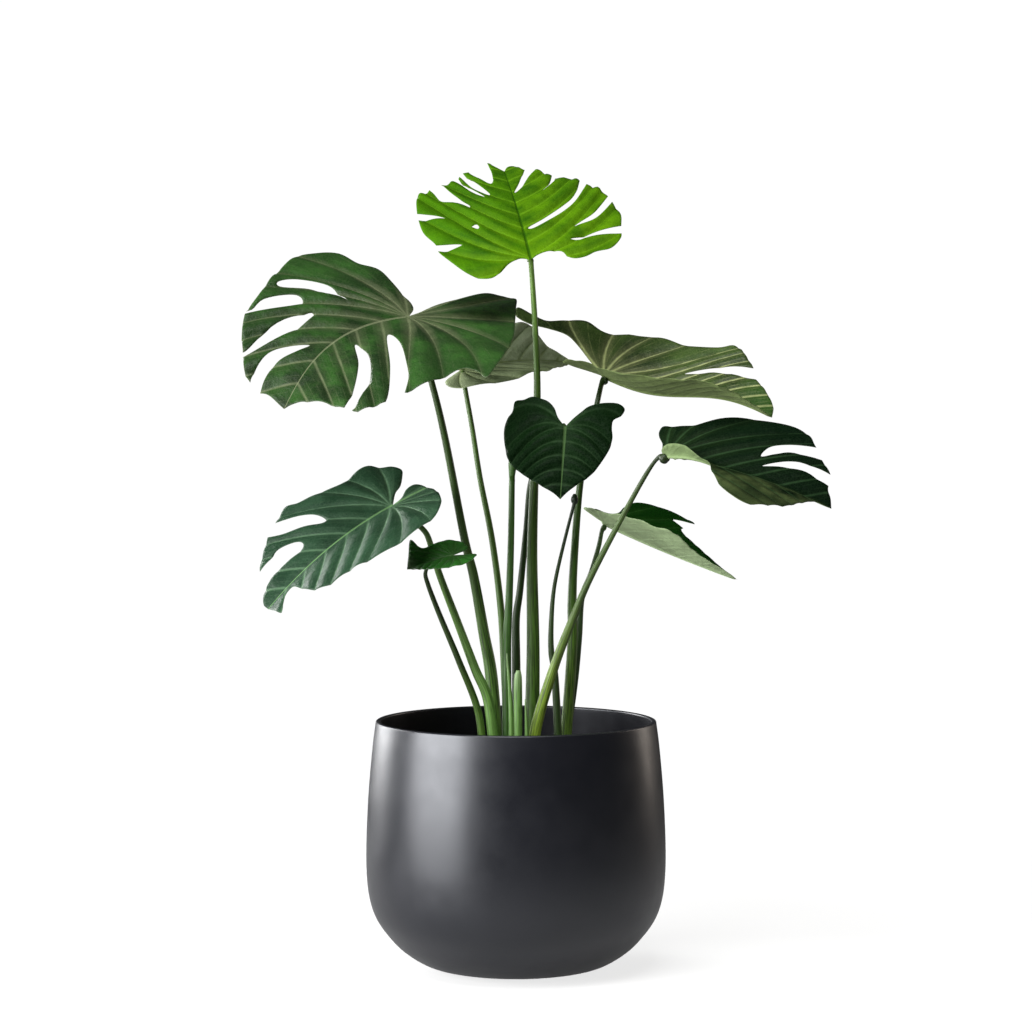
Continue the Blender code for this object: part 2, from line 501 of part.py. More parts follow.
def main():
    clear_scene()
    pot_finish = new_material("pot_charcoal", (0.028, 0.030, 0.036), 0.45)
    soil_finish = new_material("soil_dark", (0.020, 0.012, 0.008), 0.95)
    leaf_finish = new_material("leaf_green", (0.030, 0.120, 0.020), 0.38)
    stalk_finish = new_material("stalk_green", (0.090, 0.200, 0.030), 0.45)
    make_pot(pot_finish)
    make_soil(soil_finish)
    for name, leaf in LEAVES.items():
        make_blade(name, leaf, leaf_finish)
    for name, (middles, low, high) in STALKS.items():
        make_tube(name, middles, stalk_radii(len(middles), low, high), stalk_finish)
    make_tube("leaf_furled", *FURLED_LEAF, leaf_finish)
    make_tube("bud_stalk", *BUD_STALK, stalk_finish)
    for name, (middles, radii) in SHOOTS.items():
        make_tube(name, middles, radii, stalk_finish)


if __name__ == "__main__":
    main()
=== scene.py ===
"""The looks of a potted Swiss cheese plant: fine blades with veins, stalks, soil and a satin pot."""

import math
import random

import bpy
import numpy as np
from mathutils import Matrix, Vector, noise
from mathutils.geometry import delaunay_2d_cdt


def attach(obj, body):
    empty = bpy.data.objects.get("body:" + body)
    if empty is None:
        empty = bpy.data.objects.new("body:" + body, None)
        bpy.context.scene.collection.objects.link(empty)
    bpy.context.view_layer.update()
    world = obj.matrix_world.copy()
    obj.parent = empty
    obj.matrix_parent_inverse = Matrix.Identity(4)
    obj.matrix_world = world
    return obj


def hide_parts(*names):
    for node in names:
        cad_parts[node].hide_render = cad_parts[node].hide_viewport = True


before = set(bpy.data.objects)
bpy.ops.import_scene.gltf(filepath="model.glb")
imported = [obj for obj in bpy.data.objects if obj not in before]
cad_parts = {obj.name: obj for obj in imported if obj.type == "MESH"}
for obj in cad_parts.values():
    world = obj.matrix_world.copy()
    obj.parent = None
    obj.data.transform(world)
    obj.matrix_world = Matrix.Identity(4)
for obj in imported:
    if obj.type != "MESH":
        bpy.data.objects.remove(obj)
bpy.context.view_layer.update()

# Pot, as in the CAD model: outside radii at rising heights.
POT_HEIGHT = 0.248
POT_WALL = 0.0050
POT_FLOOR = 0.010
FOOT_RADIUS = 0.057
POT_PROFILE = [
    (FOOT_RADIUS, 0.0),
    (0.0700, 0.0014),
    (0.0930, 0.0068),
    (0.1140, 0.0200),
    (0.1285, 0.0350),
    (0.1400, 0.0520),
    (0.1465, 0.0720),
    (0.1492, 0.0980),
    (0.1492, 0.1300),
    (0.1470, 0.1760),
    (0.1430, 0.2215),
    (0.1398, 0.2465),
]
POT_STEPS = 6
POT_SEGMENTS = 180
RIM_STEPS = 6
RIM_SQUASH = 0.6
RIM_GAP = 0.0004

# Soil. LUMPS are heights and how close together they come; SOIL_SETTLE is how much lower the soil lies at
# the wall. The bits on it are balls of BIT_BANDS bands and BIT_SIDES sides.
SOIL_TOP = 0.203
SOIL_DEPTH = 0.030
SOIL_GAP = 0.0004
SOIL_SETTLE = 0.004
SOIL_RINGS = 70
SOIL_SEGMENTS = 200
LUMPS = ((0.0032, 48), (0.0018, 130), (0.0009, 330))
BIT_BANDS = 5
BIT_SIDES = 8

# Blades. Lengths are metres unless they belong to the flat leaf.
BLADE_THICKNESS = 0.0006
THIN_SHARE = 0.35
MARGIN_TAPER = 0.0015
RIB_AT_STALK = 0.0026
RIB_THINNING = 0.0019
RIB_MARGIN = 0.003
RIB_LEAF_LENGTH = 0.18
GROOVE_DEPTH = 0.0005
GROOVE_WIDTH = 0.0014
FINE_SPACING = 0.0027
ROW_SHARE = 0.87
EDGE_CLEARANCE = 0.45
RIB_CLEARANCE = 0.0004
CUT_STEPS = 6
OUTLINE_STEPS = 6
ROLL_START = 0.12
ROLL_LENGTH = 0.20
MIDRIB_ROWS = (0.0009, 0.0019, 0.0032)
FAN_STEP = math.radians(24)
STALK_SIDES = 20
STALK_STEPS = 8
ROOT_DEPTH = 0.012

# Each leaf is drawn flat first, in fractions of its midrib: x across, y from the stalk (0) to the tip (1).
# right and left are margins from the stalk round to the tip, with x as a distance from the midrib.
# Each cut is a closed loop: one that passes the margin is a slit, and the others are holes.
# The flat leaf is then bent: fold raises each half from the midrib (left, right), curl bends it outwards,
# roll raises the right half more near the stalk, droop bends the midrib, sway waves it,
# and face is the way the upper side looks. Angles are in degrees.
LEAVES = {
    "leaf_top": dict(
        junction=(0.014, -0.030, 0.706), tip=(-0.012, 0.115, 0.801), face=(0.0, -0.45, 0.9),
        droop=15, back_droop=0, fold=(5, 5), curl=(-10, -10),
        right=[(0.05, 0.02), (0.12, 0.04), (0.18, 0.02), (0.23, -0.05), (0.30, -0.05), (0.37, -0.01),
               (0.46, 0.01), (0.53, 0.10), (0.55, 0.20), (0.57, 0.34), (0.54, 0.50), (0.49, 0.64),
               (0.42, 0.71), (0.38, 0.77), (0.26, 0.84), (0.21, 0.92), (0.17, 0.97), (0.11, 0.98),
               (0.08, 1.05), (0.03, 1.06)],
        left=[(0.06, -0.01), (0.12, -0.05), (0.19, -0.13), (0.25, -0.18), (0.33, -0.16), (0.41, -0.09),
              (0.50, 0.06), (0.51, 0.15), (0.57, 0.27), (0.58, 0.43), (0.57, 0.58), (0.54, 0.70),
              (0.48, 0.72), (0.41, 0.83), (0.36, 0.81), (0.33, 0.84), (0.29, 0.87), (0.26, 0.96),
              (0.20, 0.98), (0.09, 1.12), (0.05, 1.08)],
        cuts=[[(0.15, 1.06), (0.10, 0.93), (0.06, 0.81), (0.015, 0.70), (0.05, 0.73), (0.12, 0.86),
               (0.19, 0.99)],
              [(0.28, 0.92), (0.235, 0.78), (0.17, 0.67), (0.25, 0.78), (0.31, 0.92)],
              [(0.41, 0.76), (0.34, 0.57), (0.26, 0.47), (0.14, 0.37), (0.035, 0.29), (0.06, 0.275),
               (0.16, 0.335), (0.27, 0.43), (0.36, 0.55), (0.46, 0.76)],
              [(0.58, 0.61), (0.47, 0.43), (0.40, 0.34), (0.29, 0.26), (0.39, 0.29), (0.48, 0.38),
               (0.61, 0.58)],
              [(0.62, 0.23), (0.50, 0.20), (0.38, 0.17), (0.25, 0.13), (0.40, 0.14), (0.62, 0.17)],
              [(-0.52, 0.82), (-0.46, 0.69), (-0.41, 0.59), (-0.27, 0.53), (-0.31, 0.60), (-0.37, 0.72),
               (-0.42, 0.90)],
              [(-0.34, 0.93), (-0.27, 0.75), (-0.22, 0.67), (-0.17, 0.63), (-0.22, 0.71), (-0.27, 0.81),
               (-0.31, 0.94)],
              [(-0.30, 0.96), (-0.24, 0.80), (-0.18, 0.72), (-0.13, 0.68), (-0.19, 0.80), (-0.27, 1.01)],
              [(-0.23, 1.04), (-0.21, 0.95), (-0.16, 0.88), (-0.10, 0.82), (-0.08, 0.96), (-0.10, 1.16)],
              [(-0.56, 0.10), (-0.47, 0.09), (-0.37, 0.12), (-0.46, 0.14), (-0.58, 0.16)],
              [(-0.64, 0.40), (-0.52, 0.39), (-0.43, 0.39), (-0.52, 0.43), (-0.64, 0.49)],
              [(-0.29, 0.30), (-0.26, 0.275), (-0.25, 0.29), (-0.26, 0.315)]],
    ),
    "leaf_upper_left": dict(
        junction=(-0.1065, -0.040, 0.6485), tip=(-0.215, -0.200, 0.5595), face=(-0.2, -0.6, 0.8),
        droop=25, back_droop=0, fold=(-5, 20), curl=(-10, -5),
        right=[(0.04, -0.11), (0.13, -0.17), (0.24, -0.22), (0.35, -0.26), (0.43, -0.20), (0.54, -0.19),
               (0.61, -0.08), (0.64, 0.01), (0.61, 0.14), (0.56, 0.31), (0.52, 0.44), (0.49, 0.57),
               (0.42, 0.70), (0.33, 0.82), (0.26, 0.91), (0.17, 0.97), (0.10, 0.97)],
        left=[(0.00, -0.10), (-0.01, -0.26), (0.00, -0.42), (0.03, -0.60), (0.10, -0.64), (0.18, -0.66),
              (0.28, -0.50), (0.38, -0.33), (0.47, -0.17), (0.55, 0.02), (0.60, 0.16), (0.64, 0.34),
              (0.58, 0.32), (0.51, 0.36), (0.46, 0.53), (0.42, 0.69), (0.37, 0.80), (0.31, 0.89),
              (0.18, 0.90), (0.07, 0.92), (0.02, 0.96)],
        cuts=[[(0.23, 0.16), (0.31, 0.175), (0.40, 0.22), (0.50, 0.31), (0.52, 0.29), (0.47, 0.21),
               (0.36, 0.14)],
              [(0.60, 0.68), (0.49, 0.58), (0.485, 0.45), (0.41, 0.33), (0.355, 0.33), (0.36, 0.40),
               (0.45, 0.55), (0.55, 0.72)],
              [(0.40, 0.89), (0.33, 0.80), (0.335, 0.60), (0.28, 0.39), (0.245, 0.41), (0.25, 0.55),
               (0.30, 0.76), (0.36, 0.91)],
              [(0.16, 1.03), (0.22, 0.91), (0.24, 0.76), (0.21, 0.66), (0.135, 0.59), (0.15, 0.66),
               (0.18, 0.78), (0.16, 0.91), (0.12, 1.03)],
              [(-0.26, 0.98), (-0.24, 0.86), (-0.20, 0.73), (-0.12, 0.58), (-0.01, 0.44), (-0.10, 0.48),
               (-0.19, 0.59), (-0.26, 0.74), (-0.29, 0.98)],
              [(-0.40, 0.84), (-0.36, 0.72), (-0.24, 0.51), (-0.07, 0.27), (-0.16, 0.31), (-0.27, 0.43),
               (-0.37, 0.57), (-0.46, 0.80)]],
    ),
    "leaf_upper_right": dict(
        junction=(0.0885, 0.040, 0.591), tip=(0.2525, -0.020, 0.549), face=(0.0, -0.32, 0.96),
        droop=4, back_droop=0, sway=-0.035, fold=(20, 32), curl=(0, 0),
        right=[(0.04, -0.08), (0.08, -0.17), (0.14, -0.21), (0.23, -0.16), (0.28, -0.08), (0.26, 0.01),
               (0.29, 0.10), (0.36, 0.22), (0.35, 0.42), (0.35, 0.60), (0.31, 0.76), (0.21, 0.87),
               (0.09, 0.95)],
        left=[(0.04, -0.06), (0.10, -0.13), (0.20, -0.24), (0.27, -0.34), (0.29, -0.46), (0.30, -0.58),
              (0.35, -0.69), (0.43, -0.71), (0.39, -0.60), (0.36, -0.50), (0.40, -0.40), (0.42, -0.28),
              (0.36, -0.14), (0.40, 0.02), (0.46, 0.15), (0.45, 0.30), (0.46, 0.50), (0.49, 0.59),
              (0.41, 0.68), (0.31, 0.77), (0.24, 0.80), (0.19, 0.87), (0.09, 0.97)],
        cuts=[[(-0.34, 0.86), (-0.305, 0.72), (-0.27, 0.56), (-0.195, 0.41), (-0.22, 0.54), (-0.22, 0.74),
               (-0.25, 0.88)]],
    ),
    "leaf_back": dict(
        junction=(-0.0545, 0.056, 0.597), tip=(0.060, 0.104, 0.603), face=(0.0, -0.14, 1.0),
        droop=25, back_droop=10, fold=(52, -3), curl=(-10, -10),
        right=[(0.06, -0.10), (0.16, -0.22), (0.34, -0.24), (0.50, -0.10), (0.55, 0.14), (0.50, 0.40),
               (0.38, 0.64), (0.20, 0.84), (0.06, 0.96)],
        left=[(0.06, -0.10), (0.16, -0.20), (0.30, -0.20), (0.40, -0.08), (0.43, 0.14), (0.39, 0.36),
              (0.36, 0.52), (0.37, 0.62), (0.33, 0.70), (0.17, 0.76), (0.08, 0.88)],
        cuts=[],
    ),
    "leaf_heart": dict(
        junction=(0.048, -0.040, 0.5395), tip=(0.043, -0.065, 0.4705), face=(0.0, -1.0, 0.3),
        droop=20, back_droop=10, fold=(5, 5), curl=(-30, -30),
        right=[(0.10, -0.15), (0.16, -0.29), (0.25, -0.39), (0.36, -0.44), (0.47, -0.47), (0.58, -0.43),
               (0.70, -0.41), (0.73, -0.25), (0.79, -0.14), (0.82, 0.06), (0.77, 0.37), (0.68, 0.56),
               (0.51, 0.70), (0.28, 0.83), (0.09, 0.93)],
        left=[(0.10, -0.15), (0.21, -0.27), (0.29, -0.35), (0.40, -0.41), (0.55, -0.46), (0.70, -0.48),
              (0.79, -0.42), (0.75, -0.30), (0.64, -0.19), (0.62, -0.06), (0.64, 0.10), (0.60, 0.28),
              (0.45, 0.56), (0.33, 0.70), (0.20, 0.80), (0.08, 0.91)],
        cuts=[],
    ),
    "leaf_right": dict(
        junction=(0.147, -0.060, 0.512), tip=(0.302, -0.110, 0.4631), face=(0.1, -0.7, 0.7),
        droop=30, back_droop=10, fold=(5, 35), curl=(-25, -25), roll=70,
        right=[(0.04, -0.03), (0.08, 0.01), (0.09, 0.09), (0.07, 0.17), (0.05, 0.24), (0.11, 0.30),
               (0.23, 0.36), (0.39, 0.45), (0.48, 0.54), (0.51, 0.62), (0.46, 0.69), (0.38, 0.77),
               (0.27, 0.82), (0.15, 0.86), (0.04, 0.90), (0.02, 0.95)],
        left=[(0.05, -0.05), (0.10, -0.07), (0.15, -0.11), (0.20, -0.13), (0.25, -0.12), (0.26, -0.04),
              (0.29, 0.06), (0.38, 0.18), (0.43, 0.29), (0.46, 0.43), (0.48, 0.59), (0.45, 0.69),
              (0.37, 0.77), (0.30, 0.82), (0.26, 0.87), (0.20, 0.92), (0.12, 0.93), (0.06, 0.97)],
        cuts=[[(-0.41, 0.86), (-0.36, 0.71), (-0.31, 0.60), (-0.25, 0.53), (-0.155, 0.51), (-0.21, 0.58),
               (-0.27, 0.67), (-0.31, 0.88)],
              [(-0.22, 0.99), (-0.22, 0.78), (-0.18, 0.66), (-0.085, 0.545), (-0.13, 0.65), (-0.16, 0.78),
               (-0.13, 0.99)]],
    ),
    "leaf_lower_right": dict(
        junction=(0.0885, 0.035, 0.4435), tip=(0.2185, -0.020, 0.389), face=(0.0, -0.10, 1.0),
        droop=-6, back_droop=0, fold=(22, 32), curl=(0, 0),
        right=[(0.03, -0.07), (0.10, -0.14), (0.19, -0.06), (0.24, 0.07), (0.34, 0.17), (0.35, 0.25),
               (0.43, 0.37), (0.43, 0.48), (0.49, 0.57), (0.44, 0.64), (0.36, 0.69), (0.23, 0.75),
               (0.14, 0.87), (0.07, 0.96)],
        left=[(0.05, -0.10), (0.09, -0.12), (0.11, -0.03), (0.16, 0.02), (0.24, 0.02), (0.33, 0.05),
              (0.39, 0.14), (0.42, 0.25), (0.42, 0.37), (0.39, 0.49), (0.29, 0.44), (0.23, 0.52),
              (0.18, 0.62), (0.12, 0.74), (0.06, 0.86), (0.025, 0.95)],
        cuts=[[(-0.43, 0.58), (-0.385, 0.47), (-0.355, 0.345), (-0.32, 0.40), (-0.30, 0.56)]],
    ),
    "leaf_lower_left": dict(
        junction=(-0.122, -0.070, 0.464), tip=(-0.237, -0.120, 0.3675), face=(-0.2, -0.65, 0.7),
        droop=30, back_droop=10, fold=(25, 0), curl=(-15, -15),
        right=[(0.08, -0.10), (0.12, -0.17), (0.19, -0.24), (0.25, -0.28), (0.32, -0.26), (0.37, -0.21),
               (0.44, -0.17), (0.45, -0.10), (0.42, 0.02), (0.41, 0.10), (0.45, 0.22), (0.48, 0.35),
               (0.53, 0.43), (0.48, 0.55), (0.42, 0.65), (0.36, 0.74), (0.26, 0.85), (0.18, 0.89),
               (0.13, 0.90), (0.10, 0.95), (0.05, 0.995)],
        left=[(-0.02, -0.10), (-0.07, -0.18), (-0.07, -0.25), (0.00, -0.28), (0.16, -0.25), (0.32, -0.17),
              (0.45, -0.06), (0.51, 0.04), (0.53, 0.20), (0.50, 0.37), (0.45, 0.50), (0.41, 0.57),
              (0.38, 0.67), (0.34, 0.73), (0.26, 0.77), (0.14, 0.79), (0.06, 0.81), (0.06, 0.87),
              (0.11, 0.92), (0.17, 0.97), (0.09, 0.985)],
        cuts=[[(0.54, 0.64), (0.45, 0.51), (0.38, 0.42), (0.30, 0.36), (0.21, 0.34), (0.20, 0.38),
               (0.27, 0.46), (0.35, 0.59), (0.47, 0.69)],
              [(0.25, 0.94), (0.26, 0.78), (0.275, 0.68), (0.21, 0.57), (0.145, 0.57), (0.14, 0.70),
               (0.15, 0.80), (0.13, 0.94)]],
    ),
    "leaf_small": dict(
        junction=(-0.0615, -0.082, 0.417), tip=(-0.105, -0.095, 0.404), face=(0.0, -0.60, 0.8),
        droop=15, back_droop=0, fold=(20, 0), curl=(0, 0),
        right=[(0.03, -0.16), (0.10, -0.38), (0.32, -0.37), (0.50, -0.08), (0.46, 0.28), (0.45, 0.50),
               (0.78, 0.62), (0.38, 0.82)],
        left=[(0.08, -0.18), (0.22, -0.44), (0.45, -0.26), (0.66, 0.10), (0.50, 0.50), (0.24, 0.80)],
        cuts=[],
    ),
}

# Stalks: middles from the soil up, then the radius at the soil and at the top.
STALKS = {
    "petiole_top": ([(0.015, -0.008, 0.2040), (0.017, -0.006, 0.308), (0.016, -0.005, 0.407),
                     (0.018, -0.006, 0.487), (0.021, -0.012, 0.571), (0.019, -0.020, 0.636),
                     (0.015, -0.027, 0.698)], 0.0080, 0.0026),
    "petiole_upper_left": ([(-0.019, -0.014, 0.2040), (-0.024, -0.014, 0.289), (-0.032, -0.015, 0.337),
                            (-0.042, -0.018, 0.393), (-0.051, -0.022, 0.431), (-0.069, -0.034, 0.526),
                            (-0.082, -0.040, 0.582), (-0.099, -0.037, 0.638)], 0.0072, 0.0030),
    "petiole_upper_right": ([(0.048, 0.010, 0.2040), (0.056, 0.009, 0.318), (0.056, 0.008, 0.367),
                             (0.058, 0.007, 0.412), (0.063, 0.006, 0.476), (0.070, 0.012, 0.517),
                             (0.081, 0.026, 0.563), (0.086, 0.036, 0.583)], 0.0060, 0.0026),
    "petiole_back": ([(-0.007, 0.016, 0.2040), (-0.011, 0.016, 0.289), (-0.015, 0.018, 0.356),
                      (-0.024, 0.022, 0.427), (-0.036, 0.028, 0.488), (-0.044, 0.035, 0.538),
                      (-0.053, 0.046, 0.588)], 0.0045, 0.0025),
    "petiole_heart": ([(0.001, 0.005, 0.2040), (0.000, 0.006, 0.304), (0.000, 0.007, 0.348),
                       (0.004, 0.008, 0.378), (0.010, 0.010, 0.437), (0.014, 0.010, 0.482),
                       (0.025, 0.006, 0.515), (0.039, -0.010, 0.537), (0.046, -0.029, 0.542)],
                      0.0050, 0.0022),
    "petiole_right": ([(0.016, -0.040, 0.2040), (0.020, -0.040, 0.246), (0.037, -0.040, 0.303),
                       (0.056, -0.042, 0.353), (0.072, -0.044, 0.391), (0.101, -0.048, 0.447),
                       (0.125, -0.052, 0.491), (0.138, -0.055, 0.510)], 0.0066, 0.0021),
    "petiole_lower_right": ([(0.047, 0.027, 0.2040), (0.058, 0.026, 0.279), (0.063, 0.025, 0.327),
                             (0.066, 0.024, 0.368), (0.075, 0.024, 0.393), (0.083, 0.026, 0.420),
                             (0.086, 0.030, 0.434)], 0.0045, 0.0022),
    "petiole_lower_left": ([(-0.020, -0.036, 0.2040), (-0.027, -0.036, 0.269), (-0.040, -0.037, 0.302),
                            (-0.056, -0.040, 0.345), (-0.075, -0.046, 0.396), (-0.083, -0.050, 0.424),
                            (-0.090, -0.055, 0.440), (-0.110, -0.062, 0.456)], 0.0058, 0.0026),
    "petiole_small": ([(-0.032, -0.034, 0.2040), (-0.037, -0.036, 0.259), (-0.056, -0.045, 0.311),
                       (-0.075, -0.055, 0.358), (-0.086, -0.062, 0.388), (-0.088, -0.066, 0.400),
                       (-0.082, -0.071, 0.4085), (-0.072, -0.076, 0.4115)], 0.0042, 0.0016),
    "petiole_furled": ([(-0.009, -0.030, 0.2040), (-0.009, -0.028, 0.318), (-0.007, -0.025, 0.368),
                        (-0.005, -0.022, 0.427), (-0.004, -0.018, 0.492)], 0.0052, 0.0030),
}
FURLED_LEAF = ([(-0.0040, -0.0178, 0.4924), (-0.003, -0.018, 0.506), (0.000, -0.017, 0.524),
                (0.005, -0.015, 0.541), (0.010, -0.013, 0.554)],
               [0.0031, 0.0046, 0.0048, 0.0034, 0.0008])
BUD_STALK = ([(0.043, -0.008, 0.2040), (0.039, -0.008, 0.289), (0.035, -0.008, 0.318),
              (0.035, -0.008, 0.346), (0.037, -0.007, 0.374), (0.041, -0.006, 0.397),
              (0.050, -0.010, 0.435), (0.057, -0.012, 0.462), (0.058, -0.012, 0.466),
              (0.058, -0.012, 0.470), (0.058, -0.012, 0.474)],
             [0.0042, 0.0036, 0.0030, 0.0025, 0.0021, 0.0019, 0.0017, 0.0018, 0.0034, 0.0036, 0.0012])
SHOOTS = {
    "shoot_tall": ([(-0.005, -0.041, 0.2040), (-0.005, -0.041, 0.262), (-0.009, -0.041, 0.318)],
                   [0.0026, 0.0024, 0.0006]),
    "shoot_middle": ([(0.002, -0.049, 0.2040), (0.002, -0.049, 0.255), (0.002, -0.049, 0.292),
                      (0.0025, -0.049, 0.302)], [0.0040, 0.0042, 0.0040, 0.0022]),
    "shoot_short": ([(0.0105, -0.050, 0.2040), (0.0105, -0.051, 0.242), (0.0090, -0.053, 0.274)],
                    [0.0022, 0.0019, 0.0005]),
}

# How each blade looks. slot is a surface name, and here it only shifts the leaf's waves. main and second
# are the two greens of the upper side; right_main stands for main on the right half and tip_main towards
# the tip, where they are given, and tint lies beside the veins, most near the stalk. show is how much the
# veins show, and rough and gloss say how the upper side shines.
# veins counts the side veins along the midrib, lean and curve say how they run outwards, and rib is how far
# the midrib bows to one side. puff and wave scale how far the blade rises between its veins and how far its
# margin waves.
# On leaf_back main and second are paled with painted light, and on every leaf second also paints shade in
# bands beside the veins.
LOOKS = {
    "leaf_top": dict(
        slot="leaf_bright", main=(0.052, 0.165, 0.001), second=(0.016, 0.074, 0.001),
        tint=(0.100, 0.230, 0.002), vein=(0.150, 0.340, 0.012), midrib=(0.012, 0.058, 0.001),
        under=(0.200, 0.300, 0.080), show=0.45, rough=0.55, gloss=0.04, veins=7, lean=0.6, curve=1.1,
        rib=0.0, puff=0.0034, wave=0.0024, right_main=(0.090, 0.220, 0.002),
    ),
    "leaf_upper_left": dict(
        slot="leaf_mid", main=(0.024, 0.088, 0.012), second=(0.004, 0.019, 0.003),
        tint=(0.085, 0.105, 0.050), vein=(0.190, 0.220, 0.115), midrib=(0.190, 0.220, 0.120),
        under=(0.200, 0.290, 0.130), show=0.55, rough=0.42, gloss=0.22, veins=6, lean=0.9, curve=0.9,
        rib=0.07, puff=0.004, wave=0.0034,
    ),
    "leaf_upper_right": dict(
        slot="leaf_olive", main=(0.040, 0.082, 0.012), second=(0.008, 0.023, 0.003),
        tint=(0.110, 0.125, 0.050), vein=(0.380, 0.430, 0.180), midrib=(0.300, 0.340, 0.130),
        under=(0.215, 0.295, 0.095), show=1.0, rough=0.46, gloss=0.25, veins=8, lean=1.0, curve=0.7,
        rib=0.0, puff=0.0018, wave=0.003, tip_main=(0.020, 0.110, 0.003),
    ),
    "leaf_back": dict(
        # main and second here are far paler than this leaf's own green, right_main: painted light, most on
        # the raised left half, which the other leaves shade.
        slot="leaf_olive", main=(0.600, 0.680, 0.480), second=(0.280, 0.340, 0.190),
        tint=(0.250, 0.300, 0.160), vein=(0.200, 0.250, 0.100), midrib=(0.200, 0.250, 0.100),
        under=(0.270, 0.340, 0.160), show=0.6, rough=0.48, gloss=0.2, veins=6, lean=0.8, curve=0.5,
        rib=0.0, puff=0.0012, wave=0.004, right_main=(0.050, 0.075, 0.022),
    ),
    "leaf_heart": dict(
        slot="leaf_dark", main=(0.0024, 0.013, 0.0024), second=(0.0012, 0.006, 0.0016),
        tint=(0.006, 0.022, 0.005), vein=(0.050, 0.100, 0.042), midrib=(0.060, 0.115, 0.038),
        under=(0.120, 0.200, 0.070), show=0.32, rough=0.44, gloss=0.03, veins=5, lean=-0.1, curve=1.3,
        rib=0.0, puff=0.0022, wave=0.0014,
    ),
    "leaf_right": dict(
        slot="leaf_dark", main=(0.001, 0.007, 0.002), second=(0.002, 0.007, 0.0024),
        tint=(0.008, 0.018, 0.005), vein=(0.040, 0.090, 0.035), midrib=(0.050, 0.090, 0.035),
        under=(0.200, 0.280, 0.120), show=0.45, rough=0.46, gloss=0.03, veins=6, lean=1.0, curve=0.8,
        rib=0.03, puff=0.0014, wave=0.002, right_main=(0.082, 0.112, 0.038),
    ),
    "leaf_lower_right": dict(
        slot="leaf_dark", main=(0.005, 0.056, 0.003), second=(0.002, 0.026, 0.001),
        tint=(0.010, 0.050, 0.004), vein=(0.030, 0.110, 0.020), midrib=(0.030, 0.110, 0.020),
        under=(0.440, 0.580, 0.310), show=0.5, rough=0.42, gloss=0.06, veins=7, lean=0.8, curve=0.5,
        rib=0.0, puff=0.0008, wave=0.0016,
    ),
    "leaf_lower_left": dict(
        slot="leaf_blue_green", main=(0.021, 0.060, 0.029), second=(0.004, 0.022, 0.009),
        tint=(0.034, 0.076, 0.040), vein=(0.150, 0.270, 0.150), midrib=(0.170, 0.330, 0.130),
        under=(0.220, 0.330, 0.200), show=0.45, rough=0.4, gloss=0.16, veins=6, lean=0.7, curve=0.6,
        rib=0.0, puff=0.0022, wave=0.0022,
    ),
    "leaf_small": dict(
        slot="leaf_dark", main=(0.040, 0.230, 0.022), second=(0.008, 0.080, 0.006),
        tint=(0.020, 0.080, 0.012), vein=(0.050, 0.130, 0.030), midrib=(0.060, 0.150, 0.040),
        under=(0.380, 0.470, 0.300), show=0.45, rough=0.42, gloss=0.2, veins=5, lean=0.7, curve=0.5,
        rib=0.0, puff=0.0008, wave=0.0008, tip_main=(0.260, 0.330, 0.210),
    ),
}


def unit(vector):
    vector = np.array(vector, float)
    return vector / np.linalg.norm(vector)


def smooth_line(points, steps):
    """A Catmull-Rom curve through the points, in this many steps between each two."""
    middle = np.array(points, float)
    first = 2 * middle[:1] - middle[1:2]
    last = 2 * middle[-1:] - middle[-2:-1]
    padded = np.vstack([first, middle, last])
    rows = []
    for k in range(1, len(padded) - 2):
        a, b, c, d = padded[k - 1 : k + 3]
        for t in np.linspace(0, 1, steps, endpoint=False):
            square = 2 * a - 5 * b + 4 * c - d
            cube = 3 * b - a - 3 * c + d
            rows.append(0.5 * (2 * b + (c - a) * t + square * t**2 + cube * t**3))
    rows.append(middle[-1])
    return np.array(rows)


# ---------------------------------------------------------------- node materials


